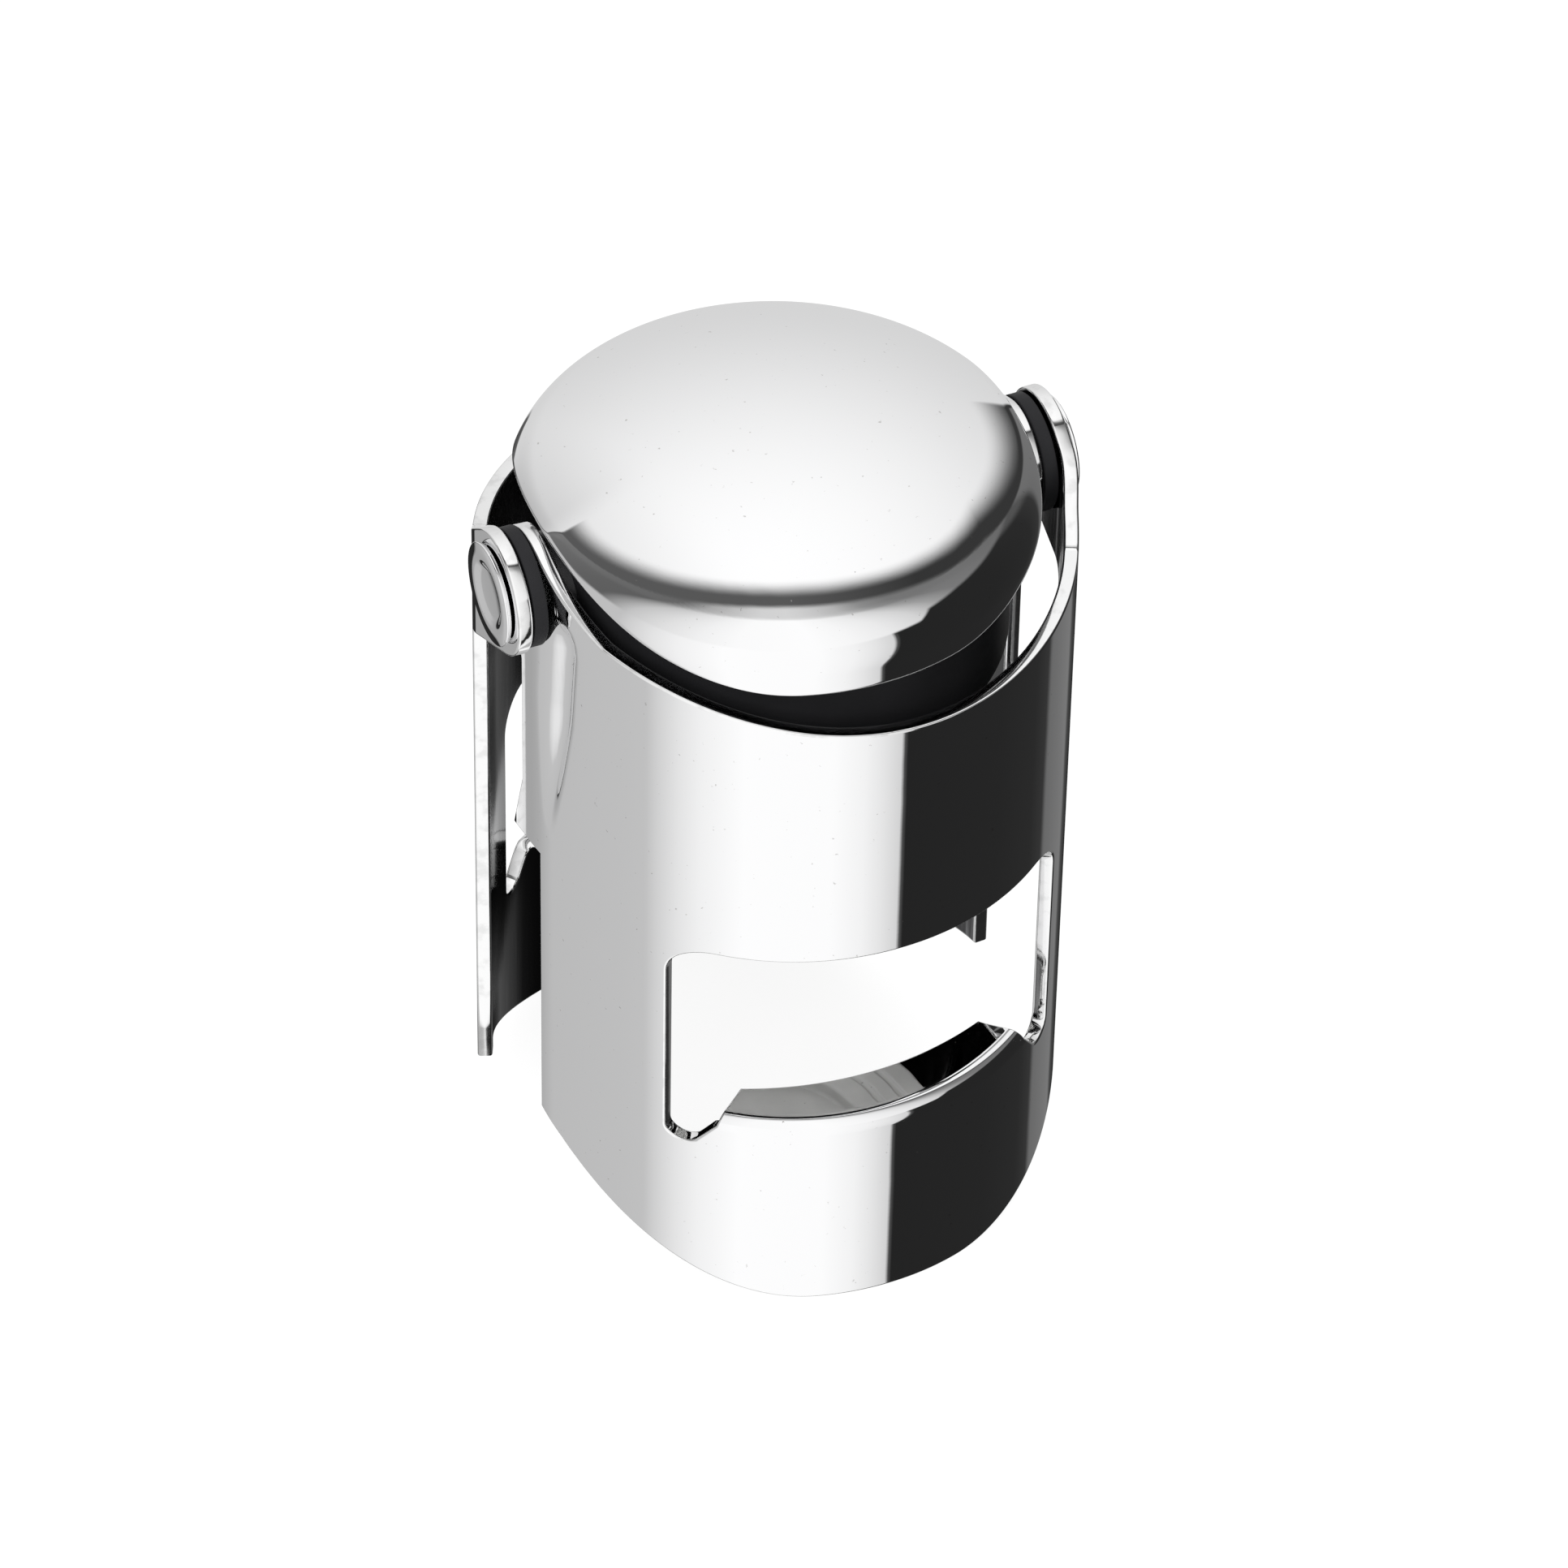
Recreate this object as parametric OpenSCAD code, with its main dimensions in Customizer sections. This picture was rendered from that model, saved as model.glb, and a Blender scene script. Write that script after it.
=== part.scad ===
// Sparkling wine bottle stopper: a domed cap, two hooked side arms that hinge on
// two rivets, and a sprung rubber seal that the cap presses on the bottle's mouth.
// Millimetres. Z is up, the hinge axis runs along X, and the front arm is at -Y.
// The origin is on the cap's axis, level with the arms' lower edges.

/* [Cap] */
// How far the cap's skirt lies inside the arms' outer radius
cap_inset = 0.8; // [0.7:0.1:1]
// Height of the crown's top above the hinge
crown_up = 9.3; // [9:0.1:9.8]
// Height of the crown above the middle of the shoulder's curve
crown_rise = 7.4; // [7:0.1:7.8]
// Outer radius of the rounded shoulder
shoulder_r = 3.8; // [3:0.1:4.4]
// Thickness of the cap's sheet
cap_t = 1.0; // [0.7:0.05:1.1]
// Depth of the skirt's lower edge under the crown's top, at the front and back
skirt_depth = 9.2; // [8.8:0.1:9.4]
// Half the width of the level stretch of the skirt's lower edge
skirt_level_w = 5.0; // [3:0.5:7]
// Radius of the curve by which the skirt's edge climbs to the sides
skirt_curve_r = 17; // [15:0.5:17.5]

/* [Arms] */
// Outer radius of an arm's wall
arm_r = 18.2; // [18.1:0.05:18.5]
// Thickness of the arms' sheet
arm_t = 1.0; // [0.8:0.05:1.1]
// How far the wall's centre lies towards the arm's outer ear
arm_shift_x = 1.1; // [1:0.05:1.2]
// How far the wall's centre lies outwards from the cap's axis
arm_shift_y = 0.65; // [0.6:0.05:0.9]
// How far the rim's lowest point lies under the hinge
rim_drop = 2.9; // [2.7:0.1:3.7]
// Radius of the long curve of the rim, seen from the front
rim_curve_r = 58; // [52:1:64]
// How far the rim's lowest point lies from the wall's centre, towards the outer ear
rim_mid_x = 4; // [2:0.5:5]
// Half the width of the level stretch of the lower edge
foot_level_w = 5; // [4:0.5:7]
// Radius of the curves from the level stretch up to the side edges
foot_curve_r = 15; // [14:0.5:20]
// Height of the lower corner under the outer ear
foot_corner_z = 6.9; // [6:0.1:7.5]
// Distance from the hinge to the side edge under the outer ear
outer_edge_y = 5.0; // [4.5:0.1:6]
// Distance from the hinge to the side edge under the inner ear
inner_edge_y = 1.8; // [1.4:0.1:2.4]

/* [Ears] */
// Height of the hinge axis
hinge_z = 52.7; // [52.4:0.1:53]
// Radius of the outer ears
outer_ear_r = 4.2; // [3.9:0.1:4.4]
// Radius of the inner ears
inner_ear_r = 3.9; // [3.6:0.1:4]
// Forward end of the sloping shoulders between ears and rim
ear_slope_y = 8.4; // [8:0.1:9]
// How far under the hinge the outer ear's neck meets the side edge
neck_drop = 7.2; // [6:0.2:8.6]
// Rear edge of the flat tongue under the inner ear
tongue_y = 1.2; // [1:0.1:1.8]
// Rear corner of the tongue's flared foot
tongue_foot_y = 2.8; // [2.4:0.1:3.2]
// Height of the tongue's flared foot
tongue_foot_z = 29.8; // [28:0.2:31]
// Height of the tongue's narrow stretch, where the flare begins
tongue_waist_z = 35; // [33.5:0.5:37]

/* [Windows and hooks] */
// Half the width of a window
window_w = 13.7; // [13.4:0.05:13.9]
// Height of a window's upper edge
window_top_z = 30.9; // [28:0.1:33]
// Radius of a window's upper corners
window_corner_r = 2.5; // [1.5:0.1:3.5]
// Width of the notch at each end of a hook
notch_w = 1.8; // [1.5:0.1:2]
// Height of the notches' lowest point
notch_z = 13.5; // [12.5:0.1:13.8]
// Height of the hook's upper face
hook_z = 16.2; // [16:0.1:17]
// How far the middle of the hook's inner edge lies inside the arm's outer radius
hook_reach = 4.1; // [3.8:0.1:4.4]
// Radius of the curve of the hook's inner edge
hook_edge_curve_r = 22; // [18:1:30]
// Half the width of the hook at its bend
hook_base_w = 11.1; // [10.8:0.1:11.4]
// Half the width of the hook at its inner edge
hook_edge_w = 8.5; // [7.5:0.1:9.5]
// Outside radius of the hook's bend
hook_bend_r = 0.8; // [0.7:0.05:0.9]

/* [Rivets] */
// Radius of a rivet's shank
rivet_r = 1.8; // [1.5:0.05:2]
// Radius of a rivet's head
rivet_head_r = 3.45; // [3.2:0.05:3.7]
// Thickness of a rivet's head
rivet_head_t = 0.45; // [0.4:0.05:0.7]
// Radius of the dimple in a rivet's head
dimple_r = 2.5; // [2:0.1:2.7]
// Depth of the dimple
dimple_depth = 0.25; // [0.1:0.05:0.3]
// Radius of a rivet's formed tail
rivet_tail_r = 2.7; // [2.4:0.1:2.9]
// Thickness of a rivet's formed tail
rivet_tail_t = 0.8; // [0.6:0.1:0.9]
// Radius of the collar that keeps the two ears apart
rivet_collar_r = 2.4; // [2.1:0.1:2.6]
// Gap round the shank in the ears' holes
pin_gap = 0.06; // [0.02:0.01:0.1]
// Gap between a head and the ear beneath it
head_gap = 0.06; // [0.04:0.01:0.1]

/* [Seal housing] */
// How far the housing's band lies inside the cap's skirt
housing_inset = 2.2; // [2.1:0.1:2.4]
// Thickness of the housing between a rivet's tail and the band's outer face
tail_wall = 2.2; // [2:0.1:2.3]
// How far the housing's shoulders inside the cap end short of the rivets' tails
seat_room = 1; // [0.5:0.1:3]
// Radius of the boss round each rivet
boss_r = 3.1; // [2.6:0.1:3.2]
// Thickness of the wall round the seal's chamber
chamber_wall = 2.5; // [2.3:0.1:2.6]
// How far the housing's lower edge lies under the hinge
housing_drop = 8.1; // [7.7:0.1:8.5]
// How far the web's underside, where the spring bears, lies under the hinge
web_drop = 0.5; // [0.3:0.1:0.9]
// Thickness of the web
web_t = 1.6; // [1.2:0.1:1.8]
// Height of the housing above the middle of the cap's shoulder
housing_rise = 2.2; // [1.6:0.1:2.4]
// Wall of the guide sleeve
sleeve_t = 1.3; // [1:0.1:1.6]
// Length of the guide sleeve under the web
sleeve_drop = 2.6; // [2:0.1:2.8]
// Gap between the housing and the cap
housing_gap = 0.05; // [0.03:0.01:0.1]

/* [Plunger and seal] */
// Radius of the plunger's stem
stem_r = 2.4; // [2.2:0.1:2.8]
// Gap between the stem and its sleeve
stem_gap = 0.08; // [0.03:0.01:0.1]
// How far the pressure plate's edge lies inside the seal's edge
plate_inset = 1.3; // [1.1:0.1:1.5]
// Thickness of the pressure plate
plate_t = 1.5; // [1.3:0.1:1.7]
// How far the plate's upper face lies under the hinge at rest
plate_drop = 11.6; // [11:0.1:12]
// Gap between the seal and its chamber
seal_gap = 0.4; // [0.3:0.05:0.5]
// Thickness of the seal under the plate
seal_t = 3.6; // [3:0.1:4]
// Thickness of the seal's lip over the plate
lip_t = 0.7; // [0.6:0.05:0.8]
// How far the lip reaches over the plate
lip_reach = 1.2; // [0.8:0.1:1.4]
// Radius of the recess in the middle of the seal's lower face
recess_r = 7.0; // [6:0.1:8]
// Depth of the recess
recess_h = 1.2; // [0.6:0.1:1.8]
// Radius of the clip that holds the stem
clip_r = 4.6; // [4.2:0.1:4.8]
// Thickness of the clip
clip_t = 0.5; // [0.4:0.05:0.6]
// Gap between the seal and the pressure plate
seat_gap = 0.05; // [0.03:0.01:0.08]

/* [Spring] */
// Mean radius of the coil
coil_r = 6.4; // [6:0.1:7]
// Radius of the spring's wire
wire_r = 0.55; // [0.45:0.05:0.6]
// Turns between the closed ends
free_turns = 3.5; // [3:0.5:4]

/* [Hidden] */
$fn = 96;

// Room beyond the solids for a cut
over = 30;
// How far a rounded end stands out, so that it crosses the straight edges beside it
bulge = 0.02;
// How far in front of the ears' slopes the rim's long curve ends
rim_end_gap = 0.3;
// Depth of the outer ear's joggle, and its length along the sheet
joggle = 1;
joggle_run = 2.5;
// Room round a rivet's tail in its pocket
tail_room = 0.2;
// Depth to which a clip sits in the stem, and the stem's end above it
clip_groove = 0.4;
stem_end = 0.8;
// Drop of the lower edge from the outer corner to the ears' slopes
foot_corner_drop = 2.5;
// Room between the arms' curved walls and the bosses and collars beside the ears
ear_room = 0.35;

// How far the outer ear's plate starts above its neck
ear_plate_up = 0.2;
// How far the inner ear's plate runs into the wall
ear_plate_run = 2.4;

cap_r = arm_r - cap_inset;
cap_top_z = hinge_z + crown_up;
skirt_z = cap_top_z - skirt_depth;
rim_z = hinge_z - rim_drop;
neck_z = hinge_z - neck_drop;
hook_r = arm_r - hook_reach;
shoulder_x = cap_r - shoulder_r;
shoulder_z = cap_top_z - crown_rise;
crown_r = (crown_rise * crown_rise + shoulder_x * shoulder_x - shoulder_r * shoulder_r)
          / (2 * (crown_rise - shoulder_r));

arm_in_r = arm_r - arm_t;
inner_face_x = arm_r - arm_shift_x;
outer_face_x = arm_r + arm_shift_x;
slope_x = sqrt(arm_r * arm_r - pow(ear_slope_y - arm_shift_y, 2));

// Height of the rim at a distance from the wall's centre
function rim_height(x) =
    rim_z + rim_curve_r - sqrt(rim_curve_r * rim_curve_r - pow(x - rim_mid_x, 2));

hook_bend_x = arm_r - hook_bend_r;
hook_bend_z = hook_z - hook_bend_r;
notch_r = notch_w / 2;

housing_r = cap_r - housing_inset;
housing_low_z = hinge_z - housing_drop;
housing_top_z = shoulder_z + housing_rise;
chamber_r = housing_r - chamber_wall;
tail_face_x = housing_r - tail_wall;
shoulder_w = tail_face_x - seat_room;
web_z = hinge_z - web_drop;
plate_z = hinge_z - plate_drop;
seal_r = chamber_r - seal_gap;
plate_r = seal_r - plate_inset;
sleeve_r = stem_r + stem_gap;
sleeve_out_r = sleeve_r + sleeve_t;
web_top_z = web_z + web_t;
clip_z = web_top_z + 0.02;
stem_top_z = clip_z + clip_t + stem_end;
boss_x = inner_face_x - arm_t - ear_room;
seal_low_z = plate_z - plate_t - seal_t;

// The axis of what is drawn along Z is laid along X at the hinge
module at_hinge() translate([0, 0, hinge_z]) rotate([0, 90, 0]) children();

// A side view, drawn with Y across and Z up, made solid from x1 to x2
module side_slab(x1, x2)
    translate([x1, 0, 0]) rotate([90, 0, 90]) linear_extrude(x2 - x1) children();

// A front view, drawn with X across and Z up, made solid from y1 to y2
module front_slab(y1, y2)
    translate([0, y2, 0]) rotate([90, 0, 0]) linear_extrude(y2 - y1) children();

// Half the section of the domed cap, drawn in by a wall's thickness
module dome_section(inset, low_z) {
    translate([0, low_z]) square([cap_r - inset, shoulder_z - low_z]);
    translate([shoulder_x, shoulder_z]) intersection() {
        circle(r = shoulder_r - inset);
        translate([-shoulder_x, 0]) square([cap_r, shoulder_r]);
    }
    intersection() {
        translate([0, cap_top_z - crown_r]) circle(r = crown_r - inset);
        translate([0, shoulder_z])
            square([shoulder_x * (crown_r - inset) / (crown_r - shoulder_r), crown_rise]);
    }
}

// The domed form, drawn in by a wall's thickness
module dome(inset, low_z) rotate_extrude() dome_section(inset, low_z);

// What lies under the skirt's edge, seen from the front
module under_skirt() difference() {
    translate([-over, 0]) square([2 * over, skirt_z + skirt_curve_r / 2]);
    translate([-skirt_level_w, skirt_z]) square([2 * skirt_level_w, skirt_curve_r]);
    for (side = [-1, 1])
        translate([side * skirt_level_w, skirt_z + skirt_curve_r]) circle(r = skirt_curve_r);
}

module cap() color("gainsboro") difference() {
    dome(0, skirt_z - 1);
    dome(cap_t, skirt_z - 2);
    front_slab(-over, over) under_skirt();
}

// One rivet, its head at +X, a collar between the ears and its tail in the housing
module rivet() color("silver") at_hinge() {
    head_x = outer_face_x + head_gap;
    collar_x = inner_face_x + head_gap;
    dish_r = (dimple_r * dimple_r + dimple_depth * dimple_depth) / (2 * dimple_depth);
    translate([0, 0, tail_face_x]) cylinder(r = rivet_r, h = head_x - tail_face_x);
    translate([0, 0, collar_x])
        cylinder(r = rivet_collar_r, h = outer_face_x - arm_t - ear_room / 2 - collar_x);
    difference() {
        translate([0, 0, head_x]) cylinder(r = rivet_head_r, h = rivet_head_t);
        translate([0, 0, head_x + rivet_head_t - dimple_depth + dish_r]) sphere(r = dish_r);
    }
    translate([0, 0, tail_face_x - rivet_tail_t])
        cylinder(r1 = rivet_tail_r - rivet_tail_t / 2, r2 = rivet_tail_r, h = rivet_tail_t);
}

module right_rivet() rivet();

module left_rivet() rotate([0, 0, 180]) rivet();

// Where an edge from a point meets an ear's disc, above (1) or below (-1) the hinge.
// It ends just inside the disc, so that it crosses the disc's edge.
function disc_point(point, radius, side) =
    let (from_hinge = point - [0, hinge_z],
         angle = atan2(from_hinge[1], from_hinge[0]) - side * acos(radius / norm(from_hinge)))
    [0, hinge_z] + 0.97 * radius * [cos(angle), sin(angle)];

// Side view of the sheet that is kept under the outer ear, the front at -Y
module outer_side() {
    slope_end = [-ear_slope_y, rim_height(slope_x)];
    edge_top = [-outer_edge_y, neck_z];
    translate([0, hinge_z]) circle(r = outer_ear_r);
    polygon([[-over, -1], [-ear_slope_y, -1], [-ear_slope_y, foot_corner_z - foot_corner_drop],
             [-outer_edge_y, foot_corner_z], edge_top, disc_point(edge_top, outer_ear_r, -1),
             disc_point(slope_end, outer_ear_r, 1), slope_end, [-over, slope_end[1]]]);
}

// Side view of the sheet that is kept under the inner ear, with its flared tongue
module inner_side() {
    slope_end = [-ear_slope_y, rim_height(-slope_x)];
    waist_top = [tongue_y, neck_z];
    translate([0, hinge_z]) circle(r = inner_ear_r);
    polygon([[-over, -1], [-inner_edge_y, -1], [-inner_edge_y, tongue_foot_z + 1],
             [tongue_foot_y, tongue_foot_z], [tongue_y, tongue_waist_z], waist_top,
             disc_point(waist_top, inner_ear_r, -1), disc_point(slope_end, inner_ear_r, 1),
             slope_end, [-over, slope_end[1]]]);
}

// What lies outside a side view, from the wall's front to the back
module beside_side() difference() {
    translate([-ear_slope_y - 2 * rim_end_gap, -2])
        square([over + ear_slope_y + 2 * rim_end_gap, hinge_z + 20]);
    children();
}

// Front view of what lies under the lower edge, X counted from the wall's centre
module under_foot() difference() {
    translate([-over, -over]) square([2 * over, over + foot_curve_r / 2]);
    translate([-foot_level_w, 0]) square([2 * foot_level_w, foot_curve_r]);
    for (side = [-1, 1]) translate([side * foot_level_w, foot_curve_r]) circle(r = foot_curve_r);
}

// Front view of the window, with a notch sloping down from each end of the hook
module window_view() {
    side_z = window_top_z - window_corner_r;
    top_x = window_w - window_corner_r;
    floor_z = notch_z + notch_r;
    slope_start = [window_w - notch_r, floor_z] + 0.97 * notch_r * [-cos(45), -sin(45)];
    polygon([[-window_w, floor_z], [-slope_start[0], slope_start[1]],
             [-hook_base_w, hook_bend_z], [hook_base_w, hook_bend_z], slope_start,
             [window_w, floor_z], [window_w, side_z], [top_x, window_top_z],
             [-top_x, window_top_z], [-window_w, side_z]]);
    for (side = [-1, 1]) {
        translate([side * top_x, side_z]) circle(r = window_corner_r + bulge);
        translate([side * (window_w - notch_r), floor_z]) circle(r = notch_r + bulge);
    }
}

// Plan of what the hook may fill, its ends running in from the bend to the edge
module hook_plan() {
    base_y = sqrt(hook_bend_x * hook_bend_x - hook_base_w * hook_base_w);
    edge_y = sqrt(pow(hook_edge_curve_r, 2) - hook_edge_w * hook_edge_w)
             - hook_edge_curve_r + hook_r;
    run = [hook_base_w - hook_edge_w, base_y - edge_y];
    polygon([for (end = [[-1, 2.5], [-1, -1.5], [1, -1.5], [1, 2.5]])
             [end[0] * (hook_base_w + run[0] * end[1]), -base_y - run[1] * end[1]]]);
}

// Half the section of the hook: a level flange and its bend down into the wall
module hook_section() {
    flange_x = hook_r - 1;
    translate([flange_x, hook_z - arm_t]) square([hook_bend_x - flange_x, arm_t]);
    translate([hook_bend_x, hook_bend_z]) intersection() {
        circle(r = hook_bend_r);
        square(hook_bend_r);
    }
}

// The inward hook that grips under the bottle's collar
module hook() difference() {
    intersection() {
        rotate_extrude() hook_section();
        translate([bulge - hook_base_w, -over, 0])
            cube([2 * (hook_base_w - bulge), over, over]);
        translate([0, 0, hook_z - 2 * arm_t]) linear_extrude(over) hook_plan();
    }
    translate([0, hook_edge_curve_r - hook_r, 0]) cylinder(r = hook_edge_curve_r, h = over);
}

// Plan of the outer ear's plate, set out to the hinge plane by a slight joggle
module outer_ear_plan() polygon([
    [outer_face_x, outer_ear_r + 1], [outer_face_x, -outer_ear_r],
    [outer_face_x - joggle, -outer_ear_r - joggle_run],
    [outer_face_x - joggle - arm_t, -outer_ear_r - joggle_run + arm_t / 3],
    [outer_face_x - arm_t, -outer_ear_r], [outer_face_x - arm_t, outer_ear_r + 1]]);

// The arm at the front: its inner ear is at -X and its outer ear at +X
module arm() difference() {
    union() {
        difference() {
            translate([arm_shift_x, -arm_shift_y, -1]) rotate(90) difference() {
                cylinder(r = arm_r, h = hinge_z + 8);
                translate([0, 0, -1]) cylinder(r = arm_in_r, h = hinge_z + 10);
            }
            translate([-over, -arm_shift_y, -2]) cube([2 * over, over, hinge_z + 12]);
            translate([arm_shift_x, 0, 0]) front_slab(-over, -outer_edge_y - 1) window_view();
        }
        translate([arm_shift_x, -arm_shift_y, 0]) hook();
        translate([-inner_face_x, -arm_shift_y - ear_plate_run, tongue_foot_z - 1])
            cube([arm_t, arm_shift_y + ear_plate_run + inner_ear_r + 1,
                  hinge_z - tongue_foot_z + inner_ear_r + 2]);
        translate([0, 0, neck_z + ear_plate_up])
            linear_extrude(neck_drop + outer_ear_r) outer_ear_plan();
    }
    side_slab(-over, 0) beside_side() inner_side();
    side_slab(0, over) beside_side() outer_side();
    translate([arm_shift_x, 0, 0]) {
        front_slab(-over, over) under_foot();
        front_slab(-over, -ear_slope_y - rim_end_gap)
            translate([rim_mid_x, rim_z + rim_curve_r]) circle(r = rim_curve_r, $fn = 180);
    }
    translate([-over, 0, 0]) at_hinge() cylinder(r = rivet_r + pin_gap, h = 2 * over);
}

module front_arm() color("whitesmoke") arm();

module rear_arm() color("lightgray") rotate([0, 0, 180]) arm();

// The moulding that carries the rivets and fills the cap
module housing() color([0.09, 0.09, 0.1]) difference() {
    union() {
        intersection() {
            dome(cap_t + housing_gap, housing_low_z);
            union() {
                cylinder(r = housing_r, h = cap_top_z);
                translate([-shoulder_w, -over, shoulder_z])
                    cube([2 * shoulder_w, 2 * over, over]);
            }
        }
        translate([-boss_x, 0, 0]) at_hinge() cylinder(r = boss_r, h = 2 * boss_x);
    }
    translate([-over, -over, housing_top_z]) cube([2 * over, 2 * over, over]);
    translate([0, 0, web_top_z]) cylinder(r = chamber_r - 1, h = over);
    translate([0, 0, housing_low_z - 1]) difference() {
        cylinder(r = chamber_r, h = web_z - housing_low_z + 1);
        translate([0, 0, web_z - sleeve_drop - housing_low_z + 1])
            cylinder(r = sleeve_out_r, h = sleeve_drop + 1);
    }
    cylinder(r = sleeve_r, h = over * 3);
    for (side = [0, 180]) rotate([0, 0, side]) {
        translate([tail_face_x - 1, 0, 0]) at_hinge() cylinder(r = rivet_r, h = over);
        translate([tail_face_x - rivet_tail_t - 2 * tail_room, 0, 0]) at_hinge()
            cylinder(r = rivet_tail_r + tail_room, h = rivet_tail_t + 2 * tail_room);
    }
}

module plunger() color([0.16, 0.16, 0.17]) {
    translate([0, 0, plate_z - plate_t]) cylinder(r = plate_r, h = plate_t);
    difference() {
        translate([0, 0, plate_z - plate_t]) cylinder(r = stem_r, h = stem_top_z - plate_z + plate_t);
        translate([0, 0, clip_z]) difference() {
            cylinder(r = stem_r + 1, h = clip_t + 0.02);
            cylinder(r = stem_r - clip_groove, h = clip_t + 0.02);
        }
    }
}

module retaining_clip() color("silver") translate([0, 0, clip_z]) difference() {
    cylinder(r = clip_r, h = clip_t);
    translate([0, 0, -1]) cylinder(r = stem_r - clip_groove, h = clip_t + 2);
    for (turn = [0:60:300]) rotate([0, 0, turn])
        translate([stem_r - 0.6, -0.3, -1]) cube([1.2, 0.6, clip_t + 2]);
}

module seal() color([0.45, 0.45, 0.44]) difference() {
    translate([0, 0, seal_low_z]) cylinder(r = seal_r, h = seal_t + plate_t + lip_t);
    translate([0, 0, plate_z - plate_t - seat_gap])
        cylinder(r = plate_r + seat_gap, h = plate_t + 2 * seat_gap);
    translate([0, 0, plate_z]) cylinder(r = plate_r - lip_reach, h = lip_t + 1);
    translate([0, 0, seal_low_z - 1]) cylinder(r = recess_r, h = recess_h + 1);
}

// Height of the wire's centre after a share of the coil, with a closed turn at each end
function coil_z(turns, all_turns, low, high) =
    turns < 1 ? low + 2 * wire_r * turns * 0.9 :
    turns > all_turns - 1 ? high - 2 * wire_r * (all_turns - turns) * 0.9 :
    low + 1.8 * wire_r + (high - low - 3.6 * wire_r) * (turns - 1) / (all_turns - 2);

// A round wire swept along the coil
module coil(all_turns, low, high, steps_a_turn, sides) {
    steps = all_turns * steps_a_turn;
    rings = [for (step = [0:steps], corner = [0:sides - 1])
        let (turn = step / steps_a_turn, angle = corner * 360 / sides,
             out = coil_r + wire_r * cos(angle))
        [out * cos(turn * 360), out * sin(turn * 360),
         coil_z(turn, all_turns, low, high) + wire_r * sin(angle)]];
    walls = [for (step = [0:steps - 1], corner = [0:sides - 1])
        let (here = step * sides + corner, beside = step * sides + (corner + 1) % sides)
        [here, here + sides, beside + sides, beside]];
    ends = [[for (corner = [0:sides - 1]) corner],
            [for (corner = [sides - 1:-1:0]) steps * sides + corner]];
    polyhedron(rings, concat(walls, ends), convexity = 6);
}

module spring() color("darkgray")
    coil(free_turns + 2, plate_z + wire_r + 0.02, web_z - wire_r - 0.02, 20, 8);

cap();
left_rivet();
right_rivet();
housing();
front_arm();
rear_arm();
plunger();
retaining_clip();
seal();
spring();
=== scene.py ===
import math

import bmesh
import bpy
import numpy as np
from mathutils import Matrix, Vector


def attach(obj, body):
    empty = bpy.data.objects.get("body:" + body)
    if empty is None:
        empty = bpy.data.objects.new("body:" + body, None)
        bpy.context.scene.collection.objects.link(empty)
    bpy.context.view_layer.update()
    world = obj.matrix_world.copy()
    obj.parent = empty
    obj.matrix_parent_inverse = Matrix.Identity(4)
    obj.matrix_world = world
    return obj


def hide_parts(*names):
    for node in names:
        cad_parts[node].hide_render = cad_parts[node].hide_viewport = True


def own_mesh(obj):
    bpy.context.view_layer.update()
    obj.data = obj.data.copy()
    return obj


# Looks of a sparkling wine bottle stopper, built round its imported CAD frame.
# All pieces are drawn in millimetres and made in metres, in the frame's own place.

bl_info = {
    "name": "Bottle stopper looks",
    "version": (1, 0, 0),
    "blender": (4, 5, 0),
    "location": "View3D > Sidebar > Stopper",
    "description": "Chrome cap, hooked arms, rivets, housing, spring and seal of a bottle stopper",
    "category": "Object",
}

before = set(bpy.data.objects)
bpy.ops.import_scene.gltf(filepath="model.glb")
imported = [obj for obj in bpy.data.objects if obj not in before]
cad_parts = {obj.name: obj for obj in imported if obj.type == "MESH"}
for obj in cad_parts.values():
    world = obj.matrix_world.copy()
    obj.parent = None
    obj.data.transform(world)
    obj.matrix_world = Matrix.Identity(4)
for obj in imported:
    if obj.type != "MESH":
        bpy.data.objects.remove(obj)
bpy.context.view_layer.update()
MM = 0.001
HINGE_Z = 52.7
CAP_NODE, FRONT_NODE, REAR_NODE = "cap", "front_arm", "rear_arm"


# Shader sums

class Wire:
    """A node's output that can stand in sums with numbers and other outputs."""

    def __init__(self, owner, socket):
        self.owner, self.socket = owner, socket

    def math(self, operation, *others):
        return self.owner.node("ShaderNodeMath", {"operation": operation}, [self, *others])

    def __add__(self, other):
        return self.math("ADD", other)

    def __sub__(self, other):
        return self.math("SUBTRACT", other)

    def __rsub__(self, other):
        return self.owner.node("ShaderNodeMath", {"operation": "SUBTRACT"}, [other, self])

    def __mul__(self, other):
        return self.math("MULTIPLY", other)

    def __truediv__(self, other):
        return self.math("DIVIDE", other)

    __radd__, __rmul__ = __add__, __mul__

    def between(self, low, high):
        """0 below low, 1 above high, and smooth from one to the other."""
        return self.owner.node("ShaderNodeMapRange", {"interpolation_type": "SMOOTHSTEP"},
                               {"Value": self, "From Min": low, "From Max": high})


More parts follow.
